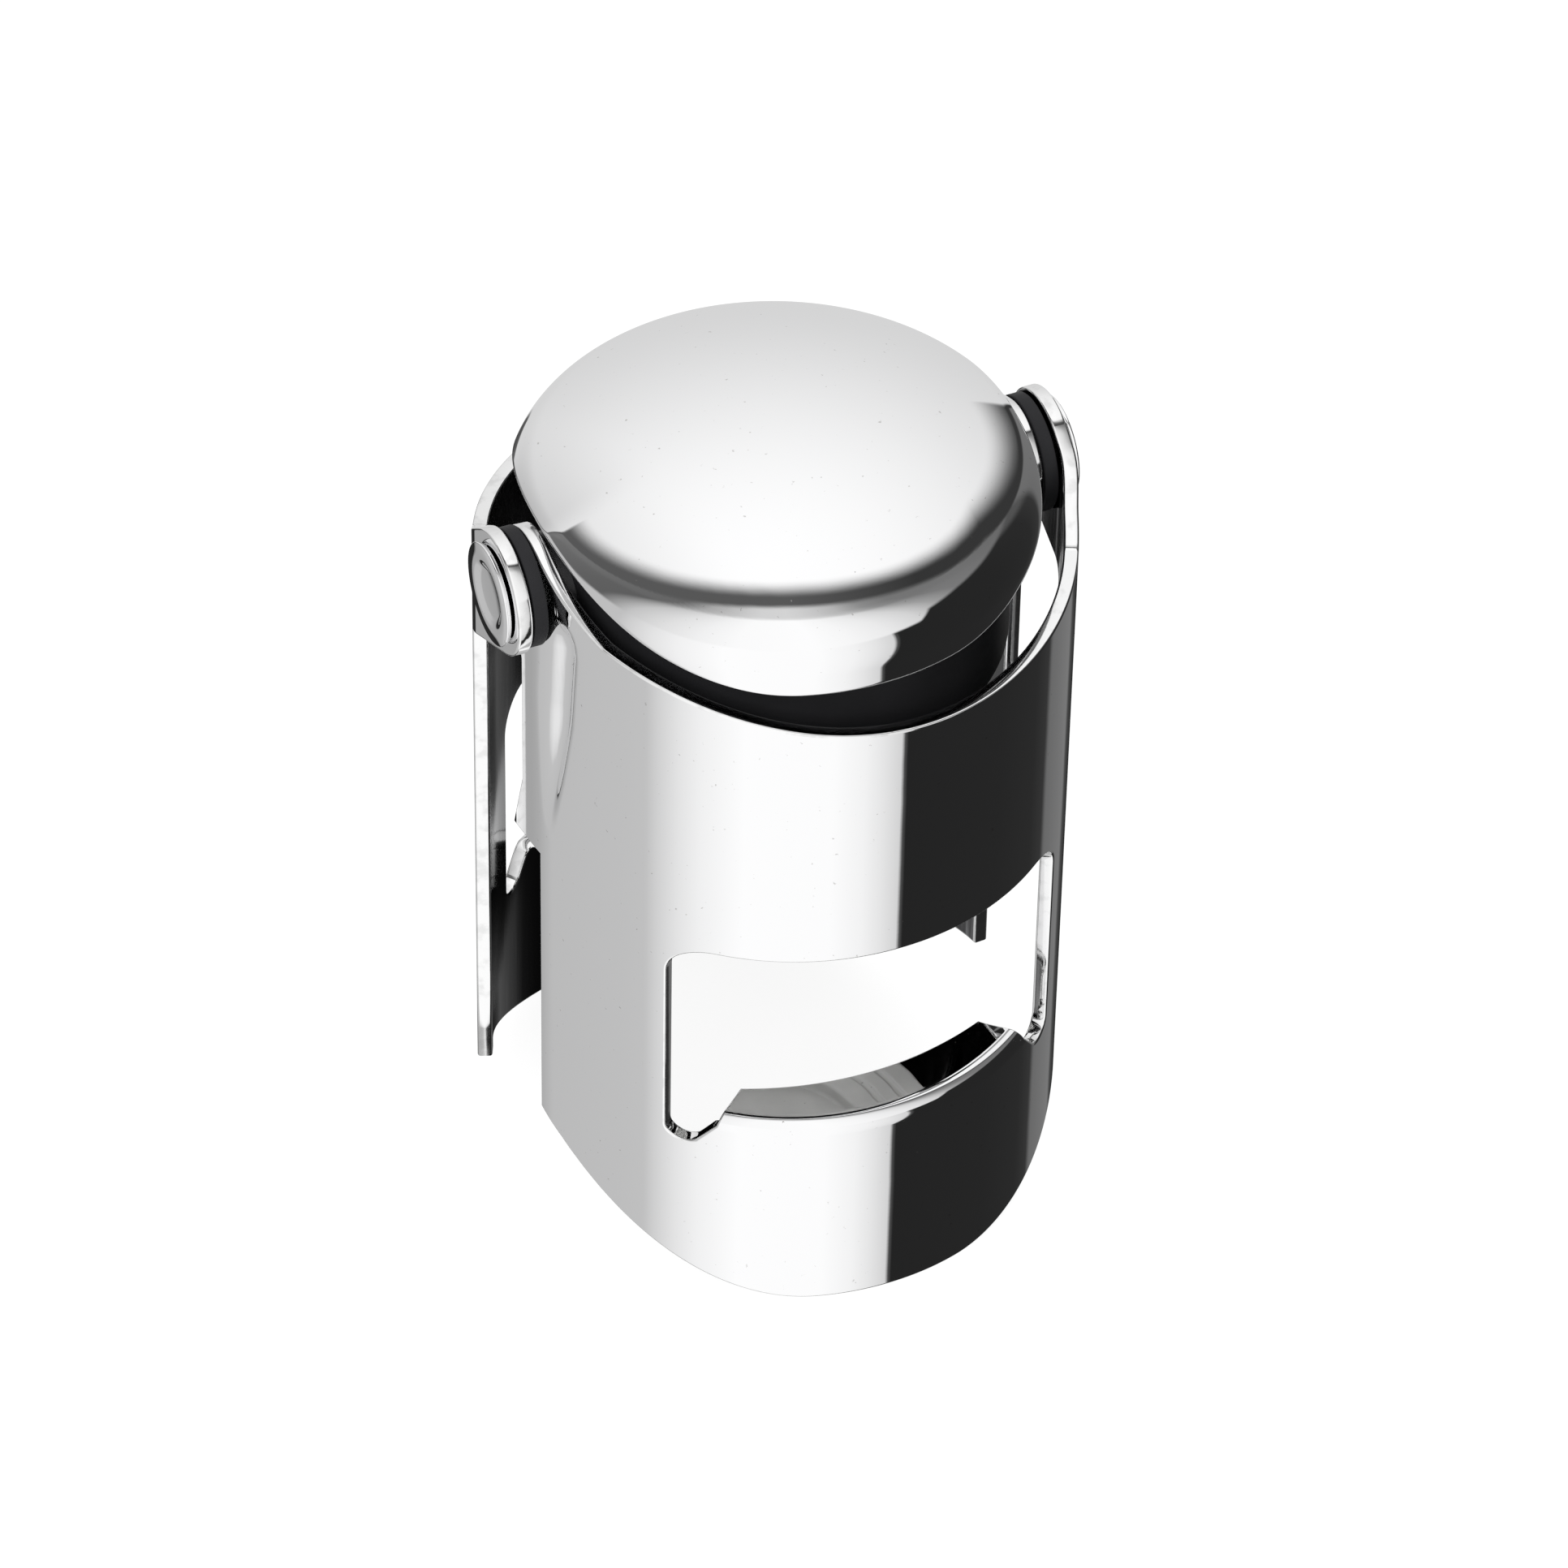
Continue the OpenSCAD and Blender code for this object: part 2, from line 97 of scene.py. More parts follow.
class Nodes:
    """What materials and Geometry Nodes trees share: making nodes and linking them."""

    def node(self, kind, settings=None, sockets=(), out=0):
        """A node of a kind, whose name's GeometryNode is left out, with its settings and links."""
        made = self.tree.nodes.new(kind if kind.startswith("Shader") else "GeometryNode" + kind)
        for key, value in (settings or {}).items():
            if key == "stops":
                ramp = made.color_ramp
                while len(ramp.elements) < len(value):
                    ramp.elements.new(0.5)
                for element, (place, level) in zip(ramp.elements, value):
                    element.position, element.color = place, (level, level, level, 1)
            else:
                setattr(made, key, value)
        for key, value in sockets.items() if isinstance(sockets, dict) else enumerate(sockets):
            self.feed(made.inputs[key], value)
        return Wire(self, made.outputs[out])

    def feed(self, socket, value):
        """Links a wire to a socket, or sets the socket's value."""
        if isinstance(value, Wire):
            self.tree.links.new(value.socket, socket)
        else:
            socket.default_value = value

    def split(self, vector):
        """The three parts of a vector."""
        parts = self.tree.nodes.new("ShaderNodeSeparateXYZ")
        self.feed(parts.inputs[0], vector)
        return [Wire(self, part) for part in parts.outputs]


class Finish(Nodes):
    """A material made of nodes."""

    def __init__(self, name, **constants):
        self.material = bpy.data.materials.get(name) or bpy.data.materials.new(name)
        self.material.use_nodes = True
        self.tree = self.material.node_tree
        self.tree.nodes.clear()
        self.output = self.tree.nodes.new("ShaderNodeOutputMaterial")
        self.shader = None
        if constants:
            self.shader = self.tree.nodes.new("ShaderNodeBsdfPrincipled")
            self.tree.links.new(self.shader.outputs[0], self.output.inputs[0])
            for key, value in constants.items():
                self.shader.inputs[key.replace("_", " ")].default_value = value

    def set(self, **sockets):
        for key, value in sockets.items():
            self.feed(self.shader.inputs[key.replace("_", " ")], value)

    def noise(self, scale, detail=2.0, stretch=(1, 1, 1), roughness=0.5):
        """Noise by the point's place on the object, which is stretched first."""
        spot = self.node("ShaderNodeTexCoord", out=3)
        place = self.node("ShaderNodeMapping", None, {"Vector": spot, "Scale": stretch})
        return self.node("ShaderNodeTexNoise", None, {
            "Vector": place, "Scale": scale, "Detail": detail, "Roughness": roughness})

    def bump(self, height, depth, normal=None):
        sockets = {"Height": height, "Distance": depth}
        if normal:
            sockets["Normal"] = normal
        return self.node("ShaderNodeBump", None, sockets)

    def grey_mix(self, mask, dark, light):
        """A colour that goes from dark to light with a mask."""
        return self.node("ShaderNodeMix", {"data_type": "RGBA"},
                         {0: mask, 6: (*dark, 1), 7: (*light, 1)}, out=2)


def mirror_chrome(name, tone):
    """Mirror chrome over polished sheet: faint waves, hairlines and dust specks."""
    f = Finish(name, Metallic=1.0)
    waves = f.noise(170, 1.5)
    hairlines = f.noise(5200, 2, (0.12, 0.12, 1.0))
    specks = f.noise(2600, 3).between(0.70, 0.78)
    f.set(Base_Color=f.grey_mix(specks, (tone, tone, tone * 1.005), (0.62, 0.61, 0.6)),
          Roughness=0.008 + hairlines * 0.012 + specks * 0.25,
          Normal=f.bump(hairlines, 2e-7, f.bump(waves, 9e-6)))
    return f.material


def shade_painted_inside_chrome(name):
    """The inside of the sheet: thin near-black chrome that paints the shade inside the arm, over
    fine streaks down the wall.
    """
    f = Finish(name, Metallic=1.0)
    streaks = f.noise(620, 5, (1, 1, 0.06), 0.65)
    patches = f.noise(120, 2, (1, 1, 0.35))
    bright = streaks.between(0.52, 0.72) * patches.between(0.45, 0.62)
    # The near-black tone is painted shade of the arm's inside; the lighter streaks are marks of the
    # drawn wall.
    f.set(Base_Color=f.grey_mix(bright, (0.035, 0.035, 0.037), (0.34, 0.34, 0.35)),
          Roughness=0.07 + streaks * 0.14 + patches * 0.05,
          Normal=f.bump(streaks, 1.6e-5))
    return f.material


def rolled_edge(name):
    """A blanked edge of the sheet, tumbled round and plated, with faint ripples."""
    f = Finish(name, Metallic=1.0)
    ripple = f.noise(900, 3)
    f.set(Base_Color=f.grey_mix(ripple.between(0.3, 0.5), (0.8, 0.8, 0.8), (0.93, 0.93, 0.93)),
          Roughness=0.05 + ripple * 0.05, Normal=f.bump(ripple, 2.5e-6))
    return f.material


def moulded(name, tone, rough, grain, depth, shine=0.5):
    """Moulded plastic or rubber with a fine grain and a dull bloom."""
    f = Finish(name, Metallic=0.0, Specular_IOR_Level=shine)
    fine, cloud = f.noise(grain, 3), f.noise(190, 3)
    f.set(Base_Color=f.grey_mix(cloud, tuple(0.75 * c for c in tone), tuple(1.3 * c for c in tone)),
          Roughness=rough + (cloud - 0.5) * 0.18 + (fine - 0.5) * 0.1,
          Normal=f.bump(fine, depth))
    return f.material


def spring_wire(name):
    """Drawn spring wire with a fine grain and a warm grey tone."""
    f = Finish(name, Metallic=1.0)
    grain = f.noise(2300, 4)
    f.set(Base_Color=f.grey_mix(grain, (0.42, 0.415, 0.41), (0.66, 0.655, 0.65)),
          Roughness=0.2 + grain * 0.2, Normal=f.bump(grain, 6e-6))
    return f.material


# Meshes

def piece(name, verts, faces, materials, indices=None, normals=None):
    """A new object from points in millimetres, with its points' normals where they are known."""
    mesh = bpy.data.meshes.new(name)
    mesh.from_pydata([tuple(MM * c for c in v) for v in verts], [], faces)
    for material in materials:
        mesh.materials.append(material)
    if indices is not None:
        mesh.polygons.foreach_set("material_index", indices)
    mesh.polygons.foreach_set("use_smooth", [True] * len(mesh.polygons))
    mesh.validate()
    if normals is not None:
        mesh.normals_split_custom_set_from_vertices(normals)
    obj = bpy.data.objects.new(name, mesh)
    bpy.context.scene.collection.objects.link(obj)
    return obj


def settle(obj):
    """Turns an object with modifiers into a plain mesh."""
    graph = bpy.context.evaluated_depsgraph_get()
    graph.update()
    plain = bpy.data.meshes.new_from_object(obj.evaluated_get(graph), depsgraph=graph)
    obj.modifiers.clear()
    obj.data = plain
    plain.name = obj.name
    return obj


def soften(obj, width=0.0):
    """Rounds the edges and keeps the broad faces' shading."""
    if width:
        bevel = obj.modifiers.new("edges", "BEVEL")
        bevel.width, bevel.segments, bevel.profile = width * MM, 3, 0.5
        bevel.limit_method, bevel.angle_limit = "ANGLE", math.radians(35)
        bevel.use_clamp_overlap = True
    weigh = obj.modifiers.new("shading", "WEIGHTED_NORMAL")
    weigh.keep_sharp, weigh.weight = False, 80
    return settle(obj)


def lathe(section_at, steps):
    """Points and faces of a turned form. section_at gives (radius, height) pairs at an angle."""
    rings = [section_at(2 * math.pi * k / steps) for k in range(steps)]
    count = len(rings[0])
    poles = [i for i in (0, count - 1) if rings[0][i][0] < 1e-9]
    verts, index = [], {}
    for k, ring in enumerate(rings):
        angle = 2 * math.pi * k / steps
        for i, (r, z) in enumerate(ring):
            if i in poles and k:
                index[k, i] = index[0, i]
                continue
            index[k, i] = len(verts)
            verts.append((r * math.cos(angle), r * math.sin(angle), z))
    faces = []
    for k in range(steps):
        n = (k + 1) % steps
        for i in range(count - 1):
            corners = [index[k, i], index[k, i + 1], index[n, i + 1], index[n, i]]
            face = [c for q, c in enumerate(corners) if c not in corners[:q]]
            if len(face) > 2:
                faces.append(face)
    return verts, faces


def outward(obj):
    """Turns a closed mesh's faces outwards."""
    bm = bmesh.new()
    bm.from_mesh(obj.data)
    bmesh.ops.recalc_face_normals(bm, faces=bm.faces[:])
    bm.to_mesh(obj.data)
    bm.free()
    return obj


def rounded(points, radius, steps=4):
    """A section whose corners are rounded, and whose two ends stay as they are."""
    out = [points[0]]
    for before, here, after in zip(points, points[1:], points[2:]):
        before, here, after = (np.array(p, float) for p in (before, here, after))
        a, b = before - here, after - here
        reach = min(radius, 0.45 * np.linalg.norm(a), 0.45 * np.linalg.norm(b))
        start, end = here + a / np.linalg.norm(a) * reach, here + b / np.linalg.norm(b) * reach
        for t in np.linspace(0, 1, steps + 1):
            out.append(tuple((1 - t) ** 2 * start + 2 * t * (1 - t) * here + t * t * end))
    return out + [points[-1]]


# The cap

# Sizes in millimetres. The skirt's edge lies 0.12 above the solid's, clear of the swung arms.
CAP_R, SHOULDER_R, CAP_TOP, CROWN_RISE, CAP_T = 17.4, 3.8, 62.0, 7.4, 1.0
SKIRT_Z, SKIRT_LEVEL, SKIRT_CURVE = 52.92, 5.0, 17.0
SHOULDER_X, SHOULDER_Z = CAP_R - SHOULDER_R, CAP_TOP - CROWN_RISE
CROWN_R = (CROWN_RISE ** 2 + SHOULDER_X ** 2 - SHOULDER_R ** 2) / (2 * (CROWN_RISE - SHOULDER_R))


def skirt_height(x):
    """Height of the skirt's edge at a distance from the middle, seen from the front."""
    past = max(abs(x) - SKIRT_LEVEL, 0)
    return SKIRT_Z + SKIRT_CURVE - math.sqrt(max(SKIRT_CURVE ** 2 - past ** 2, 0))


def dome_line(inset):
    """The dome's half section from the crown down, as points close together."""
    crown_r, shoulder_r = CROWN_R - inset, SHOULDER_R - inset
    join = math.asin(SHOULDER_X / (CROWN_R - SHOULDER_R))
    line = [(crown_r * math.sin(a), CAP_TOP - CROWN_R + crown_r * math.cos(a))
            for a in np.linspace(0, join, 60)]
    line += [(SHOULDER_X + shoulder_r * math.sin(a), SHOULDER_Z + shoulder_r * math.cos(a))
             for a in np.linspace(join, math.pi / 2, 60)[1:]]
    line += [(CAP_R - inset, z) for z in np.linspace(SHOULDER_Z, SKIRT_Z - 1, 30)[1:]]
    return np.array(line)


def skirt_end(line, angle):
    """How far along a section the skirt's edge cuts it at an angle round the axis."""
    below = [z - skirt_height(r * math.cos(angle)) for r, z in line]
    k = next(i for i, b in enumerate(below) if b < 0)
    share = below[k - 1] / (below[k - 1] - below[k])
    steps = np.linalg.norm(np.diff(line, axis=0), axis=1)
    return steps[:k - 1].sum() + share * steps[k - 1]


def along(line, distances):
    """The points of a section at distances along it."""
    steps = np.concatenate([[0], np.cumsum(np.linalg.norm(np.diff(line, axis=0), axis=1))])
    return np.stack([np.interp(distances, steps, line[:, i]) for i in (0, 1)], 1)


def cap_section(edge_r):
    """Gives the cap's section, from the outer crown round the skirt's edge to the inner one."""
    outer, inner = dome_line(0), dome_line(CAP_T)
    rows, rows_in = (1 - (1 - np.linspace(0, 1, count)) ** 1.25 for count in (90, 50))

    def section_at(angle):
        end, end_in = skirt_end(outer, angle), skirt_end(inner, angle)
        a = along(outer, rows * (end - edge_r))
        b = along(inner, rows_in * (end_in - edge_r))[::-1]
        corner, corner_in = along(outer, [end])[0], along(inner, [end_in])[0]
        across = corner_in - corner
        lift = across / np.linalg.norm(across) * edge_r
        t = np.linspace(0, 1, 5)[1:, None]
        p, q = corner + lift, corner_in - lift
        first = (1 - t) ** 2 * a[-1] + 2 * t * (1 - t) * corner + t * t * p
        second = ((1 - t) ** 2 * q + 2 * t * (1 - t) * corner_in + t * t * b[0])[:-1]
        return [tuple(v) for v in np.concatenate([a, first, [q], second, b])]
    return section_at


# The arms

ARM_R, ARM_T, SHIFT_X, SHIFT_Y = 18.2, 1.0, 1.1, 0.65
RIM_Z, RIM_CURVE, RIM_MID = 49.8, 58.0, 4.0
FOOT_LEVEL, FOOT_CURVE, FOOT_CORNER = 5.0, 15.0, 6.9
OUTER_EDGE, INNER_EDGE, EAR_SLOPE, NECK_Z = 5.0, 1.8, 8.4, 45.5
OUTER_EAR, INNER_EAR, EAR_HOLE = 4.2, 3.9, 1.86
EAR_REACH, JOGGLE_ROOM, JOGGLE_END = 7.0, 2.5, -3.4
TONGUE_Y, TONGUE_FOOT_Y, TONGUE_FOOT_Z, TONGUE_WAIST = 1.2, 2.8, 29.8, 35.0
WINDOW_W, WINDOW_TOP, WINDOW_CORNER = 13.7, 30.9, 2.5
NOTCH_R, NOTCH_Z = 0.9, 13.5
HOOK_Z, HOOK_R, HOOK_CURVE = 16.2, 14.1, 22.0
HOOK_BASE, HOOK_BASE_DROP, HOOK_EDGE, HOOK_BEND = 11.1, 0.8, 8.5, 1.15
HOOK_SPAN, HOOK_LENGTH = 0.72 * ARM_R, 7
BEND_START = HOOK_Z - HOOK_BEND
BEND_LENGTH = HOOK_BEND * math.pi / 2
CORNER_BEND, CORNER_ROOM = math.radians(22), 0.8
MARK_U, MARK_TOP, MARK_FOOT, MARK_LEAN, MARK_WIDTH = -25.2, 45.0, 33.5, 0.08, 1.2
MARK_DEPTH, MARK_BULGE, MARK_RIM_GAP, MARK_FADE = 1.0, 0.5, 0.3, 3.2
OUTER_FACE, INNER_FACE = ARM_R + SHIFT_X, ARM_R - SHIFT_X
WALL_STEPS = 700


def plan_line():
    """The outer face's line seen from above: straight ear, round wall, joggled ear."""
    wall_end = math.acos((OUTER_EAR + JOGGLE_ROOM - SHIFT_Y) / ARM_R)
    turn = np.linspace(-math.pi / 2, wall_end, WALL_STEPS)
    wall = np.stack([SHIFT_X + ARM_R * np.sin(turn), -SHIFT_Y - ARM_R * np.cos(turn)], 1)
    t = np.linspace(0, 1, 80)[1:, None]
    start, end = wall[-1], np.array([OUTER_FACE, JOGGLE_END])
    run = np.linalg.norm(end - start)
    lean, level = run * np.array([math.cos(wall_end), math.sin(wall_end)]), np.array([0, run])
    joggle = ((2 * t ** 3 - 3 * t ** 2 + 1) * start + (t ** 3 - 2 * t ** 2 + t) * lean
              + (3 * t ** 2 - 2 * t ** 3) * end + (t ** 3 - t ** 2) * level)
    line = np.concatenate([[[-INNER_FACE, EAR_REACH]], wall, joggle, [[OUTER_FACE, EAR_REACH]]])
    steps = np.concatenate([[0], np.cumsum(np.linalg.norm(np.diff(line, axis=0), axis=1))])
    middle = steps[1] + ARM_R * math.pi / 2
    return line, steps - middle


PLAN, PLAN_U = plan_line()
FLAT_U, JOGGLE_U = -ARM_R * math.pi / 2, PLAN_U[WALL_STEPS + 1]


def u_of_y(y, side):
    """Length along the sheet, from its middle, of a point of the side walls."""
    half = PLAN_U < 0 if side < 0 else PLAN_U > 0
    ys, us = PLAN[half][:, 1], PLAN_U[half]
    order = np.argsort(ys)
    return float(np.interp(y, ys[order], us[order]))


def u_of_x(x):
    """Length along the sheet of a point at a distance from the wall's centre."""
    return ARM_R * math.asin(max(-1, min(1, x / ARM_R)))


def smooth(share):
    """0 below 0, 1 above 1, and an even step between them."""
    share = min(max(share, 0), 1)
    return share * share * (3 - 2 * share)


def rim_height(x):
    """Height of the upper edge at a distance from the wall's centre."""
    return RIM_Z + RIM_CURVE - math.sqrt(RIM_CURVE ** 2 - (x - RIM_MID) ** 2)


def foot_height(x):
    """Height of the lower edge at a distance from the wall's centre."""
    past = max(abs(x) - FOOT_LEVEL, 0)
    return FOOT_CURVE - math.sqrt(max(FOOT_CURVE ** 2 - past ** 2, 0))


def touch_angle(point, radius, side):
    """Angle on an ear's disc where a line from a point touches it, above (1) or below (-1)."""
    dy, dz = point[0], point[1] - HINGE_Z
    return math.atan2(dz, dy) - side * math.acos(radius / math.hypot(dy, dz))


def ear_arc(low_point, high_point, radius):
    """An ear's round edge from its lower touching point round the back to the upper one."""
    low, high = touch_angle(low_point, radius, -1), touch_angle(high_point, radius, 1)
    while high < low:
        high += 2 * math.pi
    if high - low > 2 * math.pi:
        high -= 2 * math.pi
    return [(radius * math.cos(a), HINGE_Z + radius * math.sin(a))
            for a in np.linspace(low, high, 44)]


def arm_outline():
    """The blank's outline, as lengths along the sheet and heights."""
    slope_x, edge_x = (math.sqrt(ARM_R ** 2 - (y - SHIFT_Y) ** 2) for y in (EAR_SLOPE, INNER_EDGE))
    foot = [(u_of_x(x), foot_height(x)) for x in np.linspace(-edge_x, slope_x - 0.05, 90)]
    neck, top = (-OUTER_EDGE, NECK_Z), (-EAR_SLOPE, rim_height(slope_x))
    outer = [(-OUTER_EDGE, FOOT_CORNER), neck] + ear_arc(neck, top, OUTER_EAR) + [top]
    rim = [(u_of_x(x), rim_height(x)) for x in np.linspace(slope_x, -slope_x, 90)[1:-1]]
    waist, top_in = (TONGUE_Y, NECK_Z), (-EAR_SLOPE, rim_height(-slope_x))
    inner = ([top_in] + ear_arc(waist, top_in, INNER_EAR)[::-1]
             + [waist, (TONGUE_Y, TONGUE_WAIST), (TONGUE_FOOT_Y, TONGUE_FOOT_Z),
                (-INNER_EDGE, TONGUE_FOOT_Z + 1)])
    return (foot + [(u_of_y(y, 1), z) for y, z in outer] + rim
            + [(u_of_y(y, -1), z) for y, z in inner])


def window_outline():
    """The window's edge, which runs round the notches and the hook's blank."""
    side_z, top_x = WINDOW_TOP - WINDOW_CORNER, WINDOW_W - WINDOW_CORNER
    corner = [(top_x + WINDOW_CORNER * math.cos(a), side_z + WINDOW_CORNER * math.sin(a))
              for a in np.linspace(0, math.pi / 2, 14)]
    notch = [(WINDOW_W - NOTCH_R + NOTCH_R * math.cos(a), NOTCH_Z + NOTCH_R + NOTCH_R * math.sin(a))
             for a in np.linspace(-0.75 * math.pi, 0, 14)]
    bend_r = ARM_R - HOOK_BEND
    edge = [(x, math.sqrt(HOOK_CURVE ** 2 - x * x) - HOOK_CURVE + HOOK_R)
            for x in np.linspace(HOOK_EDGE, -HOOK_EDGE, 40)]
    blank = [(ARM_R * math.atan2(x, y), BEND_START + BEND_LENGTH + bend_r - math.hypot(x, y))
             for x, y in edge]
    base_u, base_z = u_of_x(HOOK_BASE), HOOK_Z - HOOK_BASE_DROP
    right = [(u_of_x(x), z) for x, z in notch + corner]
    left = [(-u, z) for u, z in right[::-1]]
    return right + left + [(-base_u, base_z)] + blank[::-1] + [(base_u, base_z)]


def in_hook(u, s):
    """Whether a point of the blank lies in the hook, past the start of its bend."""
    return abs(u) < HOOK_SPAN and BEND_START < s < BEND_START + HOOK_LENGTH


def sheet_points(u, s):
    """Where a point of the blank lies on the outer and on the inner face of the sheet."""
    if in_hook(u, s):
        angle, past = u / ARM_R, s - BEND_START
        turn = min(past / HOOK_BEND, math.pi / 2)
        flat = max(past - BEND_LENGTH, 0)
        points = []
        for radius in (HOOK_BEND, HOOK_BEND - ARM_T):
            r = ARM_R - HOOK_BEND + radius * math.cos(turn) - flat
            z = BEND_START + radius * math.sin(turn)
            points.append((SHIFT_X + r * math.sin(angle), -SHIFT_Y - r * math.cos(angle), z))
        return points
    x, y = (float(np.interp(u, PLAN_U, PLAN[:, i])) for i in (0, 1))
    if u < FLAT_U:
        normal = (-1.0, 0.0)
    elif u < JOGGLE_U:
        angle = u / ARM_R
        x, y = SHIFT_X + ARM_R * math.sin(angle), -SHIFT_Y - ARM_R * math.cos(angle)
        normal = (math.sin(angle), -math.cos(angle))
    else:
        before, after = ([float(np.interp(u + d, PLAN_U, PLAN[:, i])) for i in (0, 1)]
                         for d in (-0.15, 0.15))
        run = np.subtract(after, before)
        normal = tuple(np.array([run[1], -run[0]]) / np.linalg.norm(run))
    dent = press_mark(u, s)
    return [(x - depth * normal[0], y - depth * normal[1], s)
            for depth in (MARK_DEPTH * dent, ARM_T + MARK_BULGE * dent)]


def press_mark(u, s):
    """Depth share of the press tool's mark beside the inner ear, which fades down the wall."""
    share = min(max((s - MARK_FOOT) / (MARK_TOP - MARK_FOOT), 0), 1)
    rim = rim_height(ARM_R * math.sin(max(u, FLAT_U) / ARM_R)) if u < 0 else RIM_Z
    middle, width = MARK_U + MARK_LEAN * (s - MARK_TOP), MARK_WIDTH * (0.4 + 0.6 * share)
    return (smooth(share) * smooth((rim - MARK_RIM_GAP - s) / MARK_FADE)
            * math.exp(-((u - middle) / width) ** 2))


def trimmed(loop, inside):
    """A closed loop with the sheet on its left, without points too near to its corners."""
    points = np.array(loop, float)
    (u, s), (next_u, next_s) = points.T, np.roll(points, -1, 0).T
    area = np.sum(u * next_s - s * next_u)
    if (area > 0) != inside:
        points = points[::-1]
    steps = np.linalg.norm(points - np.roll(points, 1, 0), axis=1)
    points = points[steps > 0.02]
    run = np.roll(points, -1, 0) - points
    turn = np.arctan2(run[:, 1], run[:, 0])
    bend = np.abs((turn - np.roll(turn, 1) + math.pi) % (2 * math.pi) - math.pi)
    corners = points[bend > CORNER_BEND]
    kept = []
    for point, sharp in zip(points, bend > CORNER_BEND):
        near = len(corners) and np.linalg.norm(corners - point, axis=1).min() < CORNER_ROOM
        if sharp or not (near or kept and np.linalg.norm(point - kept[-1]) < 0.1):
            kept.append(point)
    return np.array(kept)


def set_in(loop, depth):
    """The loop moved into the sheet by a depth, square to its edges."""
    run = np.roll(loop, -1, 0) - loop
    run /= np.linalg.norm(run, axis=1)[:, None]
    left = np.stack([-run[:, 1], run[:, 0]], 1)
    both = left + np.roll(left, 1, 0)
    share = 1 + np.sum(left * np.roll(left, 1, 0), axis=1)
    return loop + depth * both / np.maximum(share, 0.3)[:, None]


def arm_blank(edge_r):
    """The flat blank as a mesh, cut across wherever the sheet bends. A point's third number
    is its distance from the blank's edge, up to the edge's rounding."""
    bm = bmesh.new()
    holes = [[(u_of_y(EAR_HOLE * math.cos(a), side), HINGE_Z + EAR_HOLE * math.sin(a))
              for a in np.linspace(0, 2 * math.pi, 33)[:-1]] for side in (-1, 1)]
    depths = [edge_r * (1 - math.cos(a)) for a in np.linspace(0, math.pi / 2, 6)]
    for k, loop in enumerate([arm_outline(), window_outline(), *holes]):
        loop = trimmed(loop, k == 0)
        rows = [[bm.verts.new((u, s, d)) for u, s in set_in(loop, d)] for d in depths]
        for outer, inner in zip(rows, rows[1:]):
            for i in range(len(loop)):
                j = (i + 1) % len(loop)
                bm.faces.new((outer[i], outer[j], inner[j], inner[i]))
    inmost = [e for e in bm.edges if all(v.co.z > edge_r - 1e-6 for v in e.verts)]
    fill = bmesh.ops.triangle_fill(bm, edges=inmost, use_beauty=True, use_dissolve=False)
    upside = [g for g in fill["geom"] if isinstance(g, bmesh.types.BMFace)]
    for face in upside:
        face.normal_update()
    bmesh.ops.reverse_faces(bm, faces=[f for f in upside if f.normal.z < 0])
    step = ARM_R * math.radians(1.5)
    cuts_u = [k * step for k in range(-60, 61)] + [FLAT_U - 0.3]
    cuts_u += [float(u) for u in np.linspace(JOGGLE_U, PLAN_U[-2], 10)]
    cuts_u += [(k + 0.5) * step for k in range(-62, -36)]  # closer over the press mark
    cuts_s = list(range(int(MARK_FOOT), int(RIM_Z) + 6))
    cuts_s += [BEND_START + BEND_LENGTH * k / 10 for k in range(11)]
    cuts_s += [BEND_START + BEND_LENGTH + d for d in (0.5, 1.5)]
    for axis, cuts in enumerate((cuts_u, cuts_s)):
        for cut in cuts:
            co, no = [0, 0, 0], [0, 0, 0]
            co[axis], no[axis] = cut, 1
            bmesh.ops.bisect_plane(bm, geom=bm.verts[:] + bm.edges[:] + bm.faces[:],
                                   dist=1e-5, plane_co=co, plane_no=no)
    marks = [np.array(sorted(cuts_u)), np.array(sorted(cuts_s))]
    level = edge_r - 1e-5

    def loose(edge):
        """Whether an edge crosses the flat of the blank off the lines where the sheet bends."""
        if (len(edge.link_faces) != 2
                or any(v.co.z < level for f in edge.link_faces for v in f.verts)):
            return False
        a, b = (v.co for v in edge.verts)
        return not any(abs(a[i] - b[i]) < 2e-5 and np.abs(marks[i] - a[i]).min() < 2e-5
                       for i in (0, 1))
    bmesh.ops.dissolve_edges(bm, edges=[e for e in bm.edges if loose(e)], use_verts=False)
    bm.verts.index_update()
    points = [tuple(v.co) for v in bm.verts]
    faces = [[v.index for v in f.verts] for f in bm.faces]
    rims = [(loop.vert.index, loop.link_loop_next.vert.index)
            for f in bm.faces for loop in f.loops if len(loop.edge.link_faces) == 1]
    bm.free()
    return points, faces, rims


def face_normal(u, s, side):
    """The sheet's own normal at a point, on its outer (0) or inner (1) face."""
    e = 0.02
    run_u, run_s = (
        np.subtract(sheet_points(u + du, s + ds)[side], sheet_points(u - du, s - ds)[side])
        for du, ds in ((e, 0), (0, e)))
    normal = np.cross(run_u, run_s) * (1 - 2 * side)
    return normal / np.linalg.norm(normal)


